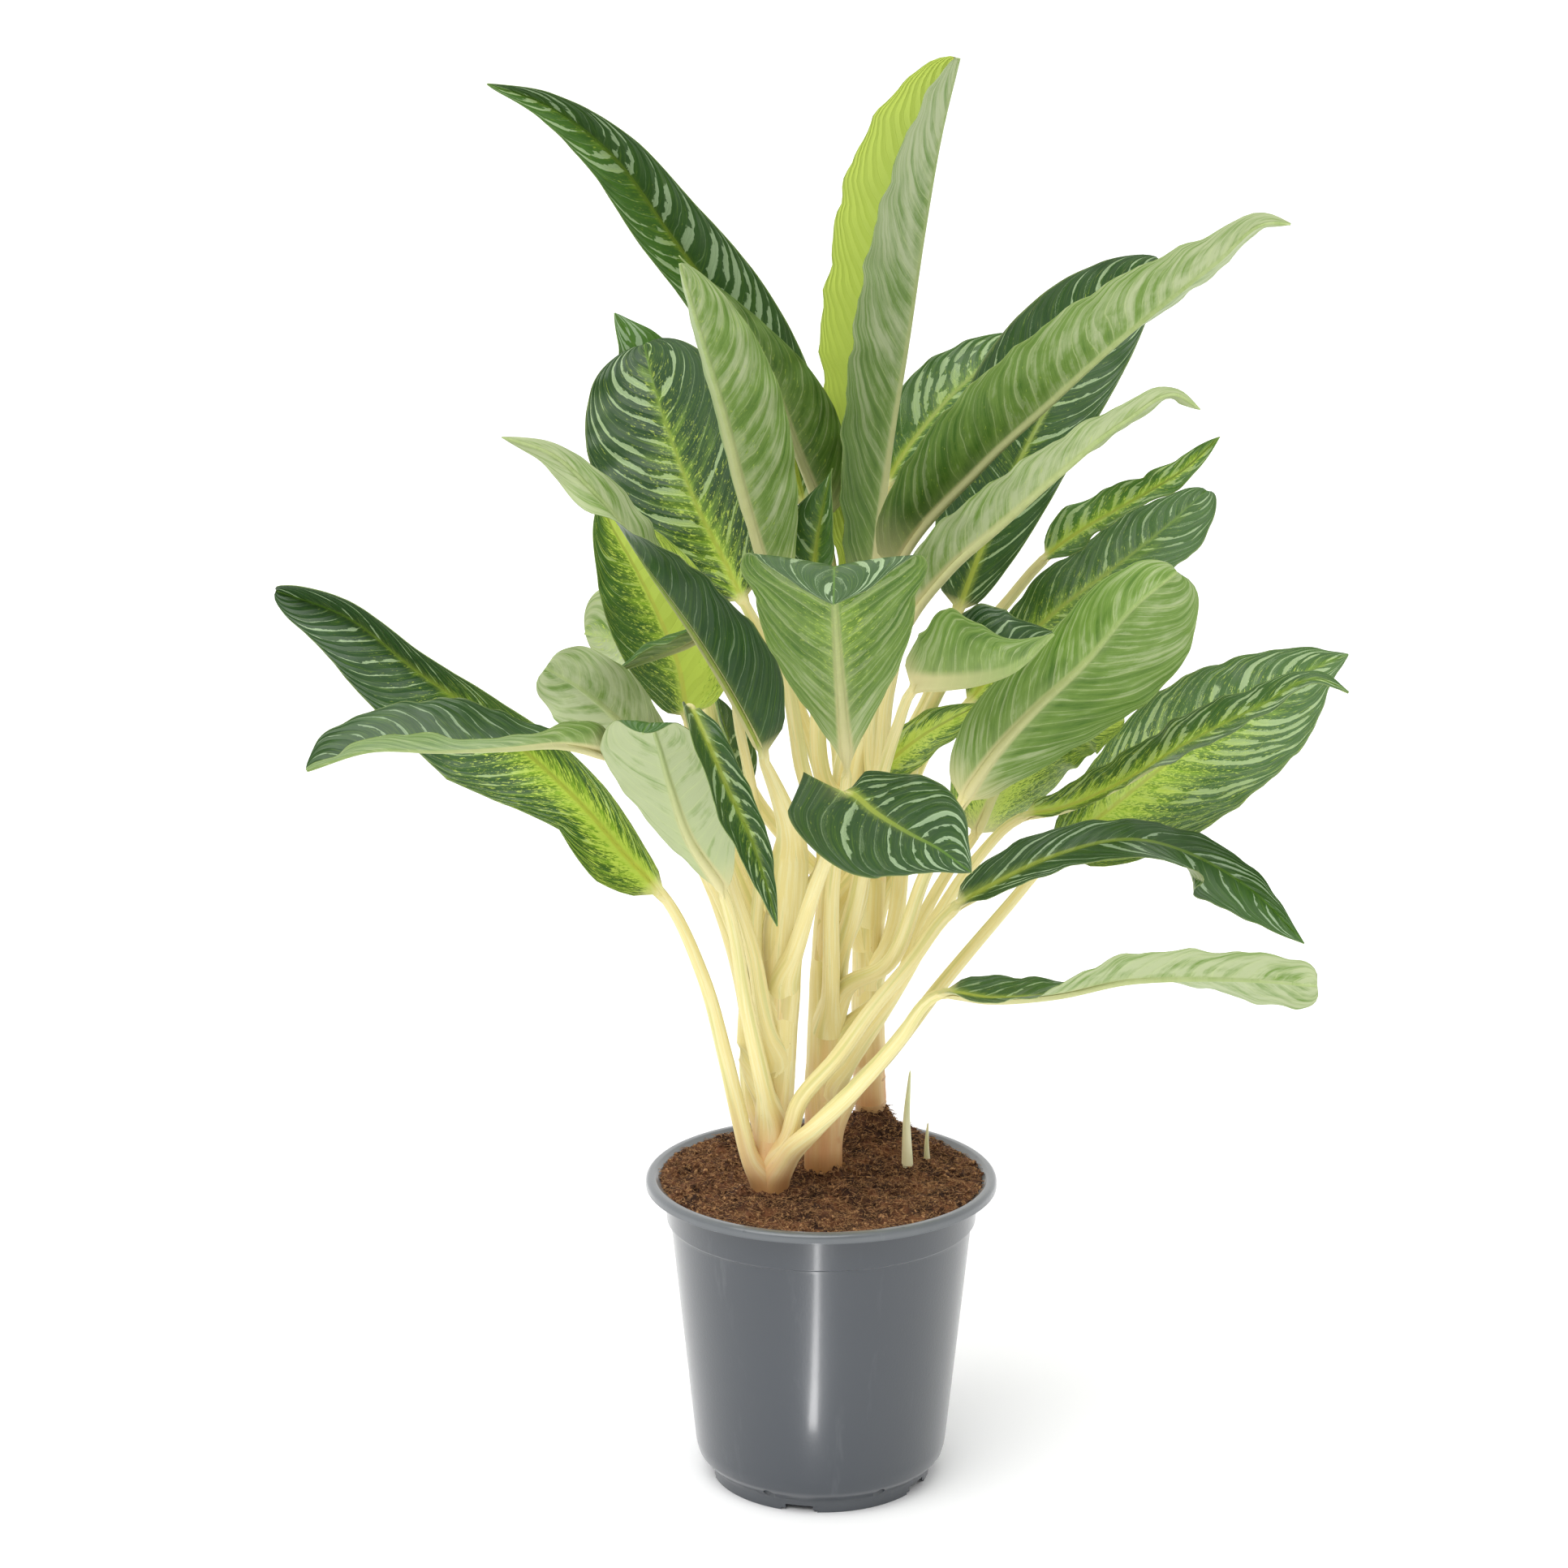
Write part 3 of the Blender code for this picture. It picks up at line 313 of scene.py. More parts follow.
def potProfile(p):  # from the middle of the floor up the inside, over the rim and down to the foot
    lipLow = p["height"] - p["lip"]
    footInner = p["foot"] - p["footWidth"]
    ledge, step, low = p["ledge"], p["step"], p["ledgeHeight"]
    return rounded([
        (0, p["floor"], 0), (footInner, p["floor"], 0.1), (ledge - p["wall"] - 0.1, low + 0.2, 0.2),
        (innerWall(low + 0.6), low + 0.6, 0.2), (innerWall(step), step, 0),
        (p["shoulder"] - p["wall"], p["height"] - p["mouthDepth"], 0.15),
        (p["mouth"], p["height"] - p["mouthBend"], 0.06), (p["mouth"] + 0.1, p["height"], 0.06),
        (p["rim"] - 0.14, p["height"], 0.14), (p["rim"], p["height"] - 0.14, 0.14),
        (p["rim"] + 0.02, lipLow, 0.05), (p["shoulder"] + 0.05, lipLow, 0.06),
        (p["shoulder"] - 0.06, step + 0.12, 0.05), (p["stepRadius"] + 0.03, step + 0.02, 0.03),
        (p["stepRadius"], step - 0.14, 0.04), (ledge + 0.14, low + 0.6, 0.3),
        (ledge + 0.02, low + 0.12, 0.08), (ledge - 0.1, low - 0.06, 0.08), (p["foot"], low - 0.55, 0.15),
        (p["foot"] - 0.02, 0, 0.03), (footInner, 0, 0.03), (footInner - 0.06, p["recess"], 0.05),
        (p["pad"] + 0.06, p["recess"], 0.05), (p["pad"], 0, 0.05), (0, 0, 0),
    ])


def potCuts(p):  # notches through the foot ring and pairs of drain holes in the ledge
    work = bmesh.new()
    for k in range(p["notches"]):
        turn = Matrix.Rotation(math.radians(p["notchTurn"] + 360 * k / p["notches"]), 4, "Z")
        place = turn @ Matrix.Translation(((p["foot"] - p["footWidth"] / 2) * cm, 0, 0))
        size = Matrix.Diagonal((3 * p["footWidth"] * cm, p["notchWidth"] * cm, 2 * p["notchHeight"] * cm, 1))
        bmesh.ops.create_cube(work, size=1, matrix=place @ size)
    upper = [e for e in work.edges if min(v.co.z for v in e.verts) > 0]
    across = [e for e in upper if e.calc_length() < 0.9 * p["notchWidth"] * cm]
    bmesh.ops.bevel(work, geom=across, offset=p["notchBend"] * cm, segments=4, affect="EDGES")
    for k in range(p["drainPairs"]):
        for side in (-1, 1):
            turn = math.radians(p["drainTurn"] + 360 * k / p["drainPairs"] + side * p["drainSpread"])
            x, y = p["drainCircle"] * math.cos(turn), p["drainCircle"] * math.sin(turn)
            place = Matrix.Translation((x * cm, y * cm, p["drainHeight"] * cm))
            bmesh.ops.create_cone(work, cap_ends=True, segments=24, radius1=p["drain"] * cm,
                                  radius2=p["drain"] * cm, depth=p["drainDepth"] * cm, matrix=place)
    return newPiece("potCuts", newMesh("potCuts", work))


def makePot():
    piece = turned("potShell", potProfile(pot), pot["sides"])
    cutter = potCuts(pot)
    boolean = piece.modifiers.new("Cut", "BOOLEAN")
    boolean.object = cutter
    boolean.operation = "DIFFERENCE"
    plainMesh(piece)
    bpy.data.objects.remove(cutter, do_unlink=True)
    piece.data.materials.clear()
    piece.data.materials.append(makePotMaterial())
    piece.data.shade_smooth()
    piece.data.set_sharp_from_angle(angle=math.radians(pot["sharp"]))
    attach(piece, "root")
    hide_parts("pot")
    print("pot turned,", len(piece.data.polygons), "faces")


# Soil: a crumbled, heaped top with loose fibres and crumbs lying on it
soil = dict(
    top=15.35, edge=15.3, rings=110, sides=230, heap=1.3, heapPlace=(2.5, 5.5), heapSpread=2.4,
    dip=0.15, dipPlace=(1, -4), dipSpread=3, banked=0.34, bankSpread=0.4, gap=0.03, level=1.0,
    crumble=0.34, crumbleScale=0.55, clods=0.42, clodScale=1.6, grit=0.17, gritScale=4.5,
    fibres=5200, fibreLength=0.90, fibreThick=0.012, fibreSizes=(0.35, 1.25), fibreTilt=0.32,
    crumbs=1500, crumbSize=0.13, crumbSizes=(0.3, 1.5), crumbTilt=1.2, seed=4,
    dark=rgb(44, 25, 16), brown=rgb(112, 72, 46), straw=rgb(176, 134, 92),
)


def soilHeight(x, y):
    s = soil
    heap, dip = [s[key] * math.exp(-(math.dist((x, y), s[key + "Place"]) / s[key + "Spread"]) ** 2)
                 for key in ("heap", "dip")]
    lumps, clods, grit = [Vector((x * s[key], y * s[key], slice)) for key, slice in (
        ("crumbleScale", 3.1), ("clodScale", 7.7), ("gritScale", 1.3))]
    lumps = noise.fractal(lumps, 1.0, 2.0, 3) * s["crumble"]
    clods = max(0, noise.noise(clods)) * s["clods"]
    grit = noise.fractal(grit, 0.8, 2.2, 4) * s["grit"]
    banked = 0
    for cane in canes.values():  # pressed up round the canes
        clear = math.dist((x, y), cane["axis"][0][:2]) - cane["radius"][0]
        banked = max(banked, math.exp(-((max(0, clear) / s["bankSpread"]) ** 2)))
    return s["top"] + heap - dip + lumps + clods + grit + s["banked"] * banked


def makeSoilMaterial(name, light):  # light is the share of straw-coloured stuff
    peat = Sheet(name, Specular_IOR_Level=0.25)
    place = peat.place()
    cloud = peat.noise(place, 90, 5, 0.7)
    fleck = peat.noise(place, 520, 3, 0.6)
    patch = peat.noise(place, 38, 3, 0.6)
    colour = peat.mix(peat.step(cloud, 0.35, 0.68), soil["dark"], soil["brown"])
    colour = peat.mix(peat.step(patch, 0.48, 0.66) * 0.55, colour, soil["dark"])
    colour = peat.mix(peat.step(fleck, 0.62 - 0.3 * light, 0.80 - 0.2 * light), colour, soil["straw"])
    return peat.finish(colour, 0.85 + 0.1 * fleck, fleck + cloud, 0.8, 0.0012)


def makeFibre():  # one curved thread, lying along X
    length, thick = soil["fibreLength"] * cm, soil["fibreThick"] * cm
    curve = bpy.data.curves.new("fibre", "CURVE")
    curve.dimensions = "3D"
    curve.bevel_depth = 1
    curve.bevel_resolution = 0
    line = curve.splines.new("POLY")
    bends = [(-0.5, 0.0), (-0.2, 0.12), (0.16, 0.10), (0.5, -0.10)]
    line.points.add(len(bends) - 1)
    for point, (x, y) in zip(line.points, bends):
        point.co = (x * length, y * length, 0.06 * length * math.cos(x * 6), 1)
        point.radius = thick * (1.1 - abs(x))
    return newPiece("fibreBit", curve)


def makeCrumb():  # a flattened, uneven grain
    work = bmesh.new()
    bmesh.ops.create_icosphere(work, subdivisions=1, radius=soil["crumbSize"] * cm)
    for v in work.verts:
        v.co *= 1 + 0.45 * noise.noise(v.co * 900)
        v.co.z *= 0.6
    return newPiece("crumbBit", newMesh("crumb", work))


def makeScatterTree(name):  # loose bits lying on a surface, at random but always the same
    tree = bpy.data.node_groups.new(name, "GeometryNodeTree")
    for label, kind in dict(Geometry="Geometry", Bit="Object", Density="Float", Smallest="Float",
                            Largest="Float", Tilt="Float", Seed="Int", Material="Material").items():
        tree.interface.new_socket(label, in_out="INPUT", socket_type="NodeSocket" + kind)
    tree.interface.new_socket("Geometry", in_out="OUTPUT", socket_type="NodeSocketGeometry")
    kinds = dict(
        given="NodeGroupInput", result="NodeGroupOutput", spots="GeometryNodeDistributePointsOnFaces",
        bit="GeometryNodeObjectInfo", turn="FunctionNodeRandomValue", low="ShaderNodeCombineXYZ",
        high="ShaderNodeCombineXYZ", minus="ShaderNodeMath", size="FunctionNodeRandomValue",
        place="GeometryNodeInstanceOnPoints", real="GeometryNodeRealizeInstances",
        dress="GeometryNodeSetMaterial")
    nodes = {label: tree.nodes.new(kind) for label, kind in kinds.items()}
    nodes["turn"].data_type = "FLOAT_VECTOR"
    nodes["minus"].operation = "MULTIPLY"
    nodes["minus"].inputs[1].default_value = -1
    nodes["high"].inputs[2].default_value = 2 * math.pi
    for source, out, target, into in (
            ("given", "Geometry", "spots", "Mesh"), ("given", "Density", "spots", "Density"),
            ("given", "Seed", "spots", "Seed"), ("given", "Bit", "bit", "Object"),
            ("given", "Tilt", "high", 0), ("given", "Tilt", "high", 1), ("given", "Tilt", "minus", 0),
            ("minus", 0, "low", 0), ("minus", 0, "low", 1), ("low", 0, "turn", "Min"),
            ("high", 0, "turn", "Max"), ("given", "Seed", "turn", "Seed"), ("given", "Smallest", "size", 2),
            ("given", "Largest", "size", 3), ("given", "Seed", "size", "Seed"),
            ("spots", "Points", "place", "Points"), ("bit", "Geometry", "place", "Instance"),
            ("turn", 0, "place", "Rotation"), ("size", 1, "place", "Scale"), ("place", 0, "real", 0),
            ("real", 0, "dress", "Geometry"), ("given", "Material", "dress", "Material"),
            ("dress", 0, "result", 0)):
        tree.links.new(nodes[source].outputs[out], nodes[target].inputs[into])
    return tree


def scatter(name, surface, tree, bit, material, **values):
    piece = newPiece(name, surface.copy())
    modifier = piece.modifiers.new("Scatter", "NODES")
    modifier.node_group = tree
    sockets = {s.name: s.identifier for s in tree.interface.items_tree if s.in_out == "INPUT"}
    for label, value in dict(values, Bit=bit, Material=material).items():
        modifier[sockets[label]] = value
    plainMesh(piece)
    piece.data.shade_smooth()
    bpy.data.objects.remove(bit, do_unlink=True)
    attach(piece, "root")


def makeSoil():
    s = soil
    edge = innerWall(s["edge"]) - s["gap"]
    work = bmesh.new()
    middle = work.verts.new((0, 0, soilHeight(0, 0) * cm))
    rings = []
    turns = [2 * math.pi * k / s["sides"] for k in range(s["sides"])]
    for i in range(1, s["rings"] + 1):
        radius = edge * (i / s["rings"]) ** 0.85
        fade = min(1, (edge - radius) / s["level"]) ** 0.6  # level towards the pot's wall
        ring = []
        for turn in turns:
            x, y = radius * math.cos(turn), radius * math.sin(turn)
            z = s["edge"] + (soilHeight(x, y) - s["edge"]) * fade
            ring.append(work.verts.new((x * cm, y * cm, z * cm)))
        rings.append(ring)
    mouthLow, step = pot["height"] - pot["mouthDepth"], pot["step"]
    for radius, height in ((innerWall(mouthLow) - 0.05, mouthLow), (innerWall(step) - 0.06, step),
                           (pot["ledge"] - 0.5, pot["floor"] + 0.3)):
        radius *= cm
        rings.append([work.verts.new((radius * math.cos(turn), radius * math.sin(turn), height * cm))
                      for turn in turns])
    for k in range(s["sides"]):
        n = (k + 1) % s["sides"]
        work.faces.new((middle, rings[0][k], rings[0][n]))
        for inner, outer in zip(rings[:-1], rings[1:]):
            work.faces.new((inner[k], outer[k], outer[n], inner[n]))
    work.faces.new(list(reversed(rings[-1])))
    mesh = newMesh("soilBody", work)
    piece = newPiece("soilBody", mesh, makeSoilMaterial("peat", 0.25))
    mesh.shade_smooth()
    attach(piece, "root")
    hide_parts("soil")

    # only the open top carries loose bits
    work = bmesh.new()
    work.from_mesh(mesh)
    low = [f for f in work.faces if f.calc_center_median().z < (s["top"] - 0.6) * cm]
    bmesh.ops.delete(work, geom=low, context="FACES")
    surface = newMesh("soilTop", work)
    tree = makeScatterTree("scatterBits")
    area = math.pi * (edge * cm) ** 2
    for name, bit, key, light, seed in (("soilFibres", makeFibre(), "fibre", 1.0, s["seed"]),
                                        ("soilCrumbs", makeCrumb(), "crumb", 0.55, s["seed"] + 7)):
        smallest, largest = s[key + "Sizes"]
        scatter(name, surface, tree, bit, makeSoilMaterial(key, light), Density=s[key + "s"] / area,
                Smallest=smallest, Largest=largest, Tilt=s[key + "Tilt"], Seed=seed)
    print("soil filled and strewn")


# Canes: their line, radius at foot and top, and colours from the soil up
canes = {
    "front": dict(axis=[(-2.5, -2.4, 13.2), (-2.5, -2.4, 14.6), (-2.5, -2.4, 16), (-2.2, -2.6, 21),
                        (-1.9, -3.0, 27), (-1.6, -3.4, 31)], radius=(0.82, 0.85), rings=0.02, age=0.15,
                  skin=rgb(226, 210, 150), foot=rgb(214, 168, 126)),
    "middle": dict(axis=[(0.1, 0.5, 13.2), (0.1, 0.5, 14.6), (0.1, 0.5, 16), (0.2, 0.2, 22),
                         (0.6, -0.2, 29), (1.3, -0.2, 35)], radius=(0.86, 0.8), rings=0.03, age=0.2,
                   skin=rgb(226, 210, 152), foot=rgb(178, 122, 40)),
    "back": dict(axis=[(2.5, 5.5, 14), (2.5, 5.5, 15.5), (2.5, 5.5, 17), (2.3, 5.0, 22), (2.4, 4.8, 28),
                       (2.6, 5.2, 34)], radius=(0.8, 0.65), rings=0.06, age=1,
                 skin=rgb(186, 136, 84), foot=rgb(178, 138, 60)),
}
caneBuild = dict(
    cadRings=9, rings=150, sides=40, nodeGap=1.35, nodeWidth=0.10, endBend=0.35, footTop=(15.8, 17.0),
    scar=rgb(134, 92, 46), streak=rgb(238, 222, 170), stain=rgb(160, 110, 50),
)


def caneRings(piece):  # the frame's own rings: places and radii
    axis = np.array(piece["axis"], float)
    places = smoothLine(axis, np.linspace(0, distances(axis)[-1], caneBuild["cadRings"]))
    return places, np.linspace(*piece["radius"], caneBuild["cadRings"])


def caneAt(name, height):
    places, radii = caneRings(canes[name])
    place = np.array([np.interp(height, places[:, 2], places[:, k]) for k in range(3)])
    return place, float(np.interp(height, places[:, 2], radii))


def tube(name, centres, radii):  # a row of radii for each place along it, one for each side
    ahead = unit(np.gradient(centres, axis=0))
    across = unit(np.cross(ahead, np.tile((0.0, -1.0, 0.0), (len(centres), 1))))
    normal = np.cross(across, ahead)
    turns = np.linspace(0, 2 * math.pi, radii.shape[1], endpoint=False)[None, :, None]
    rounds = np.cos(turns) * across[:, None] + np.sin(turns) * normal[:, None]
    mesh = loft(name, centres[:, None] + radii[..., None] * rounds)
    faceOut(mesh)
    return mesh


def makeCaneMaterial(name, piece):
    bark = Sheet(name + "Skin")
    place = bark.place()
    x, y, z = bark.parts(place)
    streak = bark.grain(x * 420, y * 420, z * 26, 4, 0.6)
    cloud = bark.noise(place, 130, 3)
    band = bark.grain(x * 20, y * 20, z * 260, 3, 0.6)
    up = bark.step(z, *[v * cm for v in caneBuild["footTop"]])
    old = 0.5 * piece["age"]
    colour = bark.mix(up, piece["foot"], piece["skin"])
    colour = bark.mix(bark.step(band, 0.50, 0.66) * old, colour, caneBuild["scar"])
    colour = bark.mix(streak * 0.35, colour, caneBuild["streak"])
    colour = bark.mix(bark.step(cloud, 0.62, 0.75) * old, colour, caneBuild["stain"])
    return bark.finish(colour, 0.42 + 0.15 * cloud, streak + band * 2, 0.25, 0.0006)


def makeCanes():
    b = caneBuild
    for name, piece in canes.items():
        places, radii = caneRings(piece)
        length = distances(places)
        at = np.linspace(0, length[-1], b["rings"])
        radius = np.interp(at, length, radii)
        fromNode = ((at / b["nodeGap"]) % 1 - 0.5) * b["nodeGap"]
        radius = radius + piece["rings"] * np.exp(-(fromNode / b["nodeWidth"]) ** 2)
        end = np.clip((length[-1] - at) / b["endBend"], 0, 1)
        radius = radius * (0.62 + 0.38 * np.sqrt(1 - (1 - end) ** 2))
        radius = radius[:, None].repeat(b["sides"], 1)
        mesh = tube("cane_" + name, smoothLine(places, at), radius)
        made = newPiece("cane" + name.capitalize(), mesh, makeCaneMaterial("cane" + name.capitalize(), piece))
        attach(made, "root")
        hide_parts("cane_" + name)
    print("canes grown")


# Young shoots: pale spikes wrapped in one pointed scale
shoots = {
    "tall": dict(axis=[(4.3, 0.9, 13.6), (4.3, 0.9, 15), (4.2, 0.8, 18), (4.35, 0.6, 20.6)],
                 radius=(0.36, 0.05)),
    "short": dict(axis=[(5.3, 2.3, 13.8), (5.3, 2.3, 15), (5.25, 2.2, 16.2), (5.3, 2.1, 17.4)],
                  radius=(0.24, 0.04)),
}
shootBuild = dict(
    rings=70, sides=28, taper=1.15, fold=0.10, footTop=(14.7, 15.6), tipFrom=(16.5, 20.5),
    pale=rgb(238, 232, 190), green=rgb(176, 190, 110), tip=rgb(196, 206, 150), foot=rgb(214, 186, 120),
)


def makeShootMaterial():
    b = shootBuild
    skin = Sheet("shootSkin")
    x, y, z = skin.parts(skin.place())
    streak = skin.grain(x * 700, y * 700, z * 30, 3, 0.6)
    colour = skin.mix(skin.step(streak, 0.45, 0.75) * 0.55, b["pale"], b["green"])
    colour = skin.mix(skin.step(z, *[v * cm for v in b["tipFrom"]]) * 0.55, colour, b["tip"])
    foot = 1 - skin.step(z, *[v * cm for v in b["footTop"]])
    colour = skin.mix(foot * 0.6, colour, b["foot"])
    return skin.finish(colour, 0.38 + 0.1 * streak, streak, 0.3, 0.0003)


def makeShoots():
    b = shootBuild
    material = makeShootMaterial()
    for name, piece in shoots.items():
        axis = np.array(piece["axis"], float)
        at = np.linspace(0, distances(axis)[-1], b["rings"])
        t = at / at[-1]
        foot, tip = piece["radius"]
        radius = foot + (tip - foot) * t ** b["taper"]
        turns = np.linspace(0, 2 * math.pi, b["sides"], endpoint=False)
        wound = turns[None, :] - 2.2 - 3.5 * t[:, None]  # the edge of the scale winds up
        fold = 1 + b["fold"] * np.cos(wound) ** 9
        end = np.sqrt(np.clip((1 - t) / 0.03, 0.02, 1))
        mesh = tube("shoot_" + name, smoothLine(axis, at), radius[:, None] * fold * end[:, None])
        made = newPiece("shoot" + name.capitalize(), mesh, material)
        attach(made, "root")
        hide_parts("shoot_" + name)
    print("shoots up")


# Leaves: blade, midrib, stalk and the sheath that clasps the cane, one closed loft each
leafBuild = dict(
    thick=0.07, edge=0.035, rib=0.06, ribLeast=0.03, ridge=1.1, groove=0.03, ripple=0.013,
    swell=(0.07, 0.05), rise=1.7, taper=0.35, sheath=7.0, clasp=0.06, layer=0.012, stalkLow=(15.2, 22.8),
    sheathRings=16, stalkRings=26, bladeRings=64, strips=12, ribPoints=7, blend=0.05, sharp=70,
    veinSpacing=0.92, sweep=0.5, lobeStart=0.015, lobeFade=0.2,
    lobeRings=(0.005, 0.01, 0.015, 0.02, 0.027, 0.04, 0.05, 0.06),
)
usual = dict(  # what a leaf has where its own line says nothing
    widest=0.42, base=0.62, tip=None, fold=15, curl=10, wide=1, lobe=0, wave=0, waves=3,
    stalkRadius=(0.45, 0.26), silver=0.5, lime=0.3, dark=0.5, pale=0.4,
)
leaves = []


def leaf(name, cane, height, **shape):
    leaves.append({**usual, **shape, "name": "leaf_" + name, "cane": cane, "height": height})


# Each leaf has its cane and the height, in centimetres, where it leaves it. stalk and blade are midrib
# places: column, row and centimetres behind the pot's axis. face is where the upper side looks, fold how far
# each half is raised and curl how far its margin bends on, in degrees. wide is a half's share of the width,
# lobe its reach back past the stalk. silver is for bands, lime for flush, dark for the ground and pale for
# the underside. Left and right are as seen along the blade, upper side up; lists run from base to tip.
top = "top"  # on the cane's end
leaf("upper_left", "back", 30, stalk=[(1035, 930, 8), (1015, 760, 9)],
     blade=[(995, 640, 9.5), (955, 500, 10.5), (900, 395, 11), (825, 288, 10.5), (750, 187, 9.5),
            (670, 128, 8.5), (599, 103, 7.5)],
     width=5.8, face=(0, -0.98, 0.2), fold=40, curl=8, widest=0.45, wideLeft=[0.7, 0.7, 0.72, 0.95, 1.1],
     wideRight=[1.35, 1.2, 1, 0.78, 0.6], silver=0.9, limeLeft=0.3, limeRight=0.1, darkLeft=0.4,
     darkRight=0.75)
leaf("inner_pale", "front", 30, stalk=[(985, 930, -3.2)],
     blade=[(952, 745, -4), (916, 610, -5), (893, 516, -6), (868, 430, -7), (837, 324, -8)],
     width=6, face=(-0.35, 1, 0.1), foldLeft=5, foldRight=95, curl=5, widest=0.5, lime=0.25, dark=0.4,
     pale=[0.5, 0.6, 0.65, 0.75])
leaf("inner_green", "middle", 33, stalk=[(1030, 860, 1.5), (1028, 740, 1)],
     blade=[(1015, 650, 0.4), (979, 549, -1), (954, 480, -2.2), (908, 398, -4), (836, 314, -6)],
     width=5.2, face=(-0.25, 1, 0.3), foldLeft=8, foldRight=88, curl=5, widest=0.33,
     wideLeft=[1.05, 0.93, 0.62, 0.5], silver=0.3, dark=0.4, pale=[0.4, 0.3, 0.4])
# crown: the strong lime on its left half, the far one, is partly its own flush and partly painted glow of
# light shining through the thin blade
leaf("crown", "middle", top, stalk=[(1060, 920, 0.8), (1066, 850, 1)],
     blade=[(1071, 770, 1), (1093, 560, 1.5), (1116, 419, 2), (1138, 276, 2), (1159, 160, 1.5),
            (1181, 70, 1)],
     width=10.4, face=(-1, -0.1, 0.25), foldRight=34, foldLeft=76, curl=4, widest=0.55,
     wideRight=[1, 1, 1, 0.95, 0.9], wideLeft=[0.7, 0.66, 0.7, 0.68, 0.8, 0.8, 0.9, 0.95, 1], silver=0.3,
     limeLeft=2.5, limeRight=0.1, dark=0.4, pale=[0.15, 0.4, 0.7, 0.85, 0.95])
leaf("upper_right", "middle", 31.5, stalk=[(1074, 900, -1.2), (1086, 800, -1.8)],
     blade=[(1100, 715, -2.6), (1210, 574, -6), (1295, 495, -8), (1379, 419, -10), (1500, 322, -12),
            (1560, 275, -12.8), (1592, 276, -13.2)],
     width=6.7, face=(-0.45, 0.85, 0.35), foldRight=12, foldLeft=[66, 60, 38, 25], curl=6, silver=0.6,
     lime=[0.3, 0.2, 0.05], pale=[0.05, 0.2, 0.45, 0.75, 1.0])
leaf("back_right", "back", 32, stalk=[(1105, 960, 4.8), (1150, 845, 4.2)],
     blade=[(1178, 760, 4), (1220, 650, 4.4), (1270, 540, 5.2), (1335, 435, 6.5), (1390, 362, 7.5),
            (1428, 318, 8)],
     width=6.6, face=(0.1, -0.9, 0.35), foldRight=32, foldLeft=8, curl=8, wideLeft=[1, 1.2, 1.35],
     wideRight=[0.8, 0.85, 1], widest=0.5, lime=0.25, dark=0.8)
leaf("back_centre", "back", top, stalk=[(1070, 900, 6.2), (1078, 720, 6.6)],
     blade=[(1092, 600, 7.2), (1147, 516, 8), (1200, 462, 9), (1242, 430, 10), (1276, 407, 11)],
     width=5.2, face=(-0.1, -0.65, 0.8), curl=8, wideLeft=0.85, silver=1, lime=0.35)
leaf("right_hooked", "middle", 29.2, stalk=[(1080, 985, -2.4), (1096, 845, -4.4)],
     blade=[(1112, 783, -5), (1168, 705, -6.5), (1236, 645, -8), (1310, 580, -9.5), (1385, 520, -10.5),
            (1450, 486, -11), (1480, 505, -11.3)],
     width=6, face=(-0.4, 0.8, 0.45), foldRight=30, foldLeft=[50, 42, 25], curl=6,
     wideRight=[0.8, 0.65, 0.5, 0.4], silver=0.6, lime=0.2, dark=0.6, pale=[0.7, 0.8, 0.85, 0.95])
leaf("right_wavy", "back", 24,
     stalk=[(1115, 1010, 3.2), (1128, 920, 2.4), (1180, 812, 1), (1240, 742, -0.2)],
     blade=[(1285, 690, -1.2), (1340, 650, -2.2), (1378, 628, -3), (1420, 604, -3.8),
            (1458, 580, -4.4), (1503, 538, -5)],
     width=3.2, face=[(-0.3, -0.6, 0.75), (-0.5, -0.5, 0.7), (0.1, -0.8, 0.6)], curl=8, wave=0.2,
     waves=2.2, wideLeft=[1, 1.1, 0.9, 0.5, 0.8, 0.9], wideRight=[1, 1.1, 1.1, 0.5, 1, 0.9], silver=1,
     lime=0.55, dark=0.2, pale=0.6)
leaf("right_round", "back", 27.5, stalk=[(1112, 1000, 5.8), (1152, 910, 6.2)],
     blade=[(1188, 872, 6.4), (1240, 812, 6.6), (1300, 755, 7), (1370, 702, 8), (1430, 655, 9.5),
            (1487, 604, 11)],
     width=6.8, face=(-0.1, -0.6, 0.8), wave=0.2, widest=0.6, wideLeft=0.6, silver=0.45,
     lime=[0.8, 0.5, 0.3, 0.2])
leaf("right_broad", "middle", 23.5, stalk=[(1098, 1183, -4), (1141, 1075, -5.4)],
     blade=[(1184, 992, -6.4), (1225, 930, -7.2), (1272, 878, -8), (1336, 818, -9.5), (1400, 745, -11),
            (1451, 704, -11.8)],
     width=7.8, face=(0.1, 0.88, 0.41), foldRight=[12, 28, 30], foldLeft=12, curl=12, widest=0.62,
     tip=0.33, wideRight=[1, 0.55, 0.55], wideLeft=[1, 1.1, 1.15], silver=0.4, lime=0, dark=0.6,
     pale=[0.8, 0.4, 0.4, 0.65])
leaf("right_inner", "middle", 21.5, stalk=[(1100, 1220, 0), (1140, 1122, 0), (1173, 1066, 0.2)],
     blade=[(1200, 1030, 0.2), (1232, 965, 0.2), (1275, 912, 0), (1330, 885, -0.4), (1386, 886, -0.8)],
     width=7, face=(-0.6, 0.75, 0.5), foldRight=10, foldLeft=0, wideLeft=1.45, widest=0.5, silver=0.4,
     lime=1, pale=0.2)
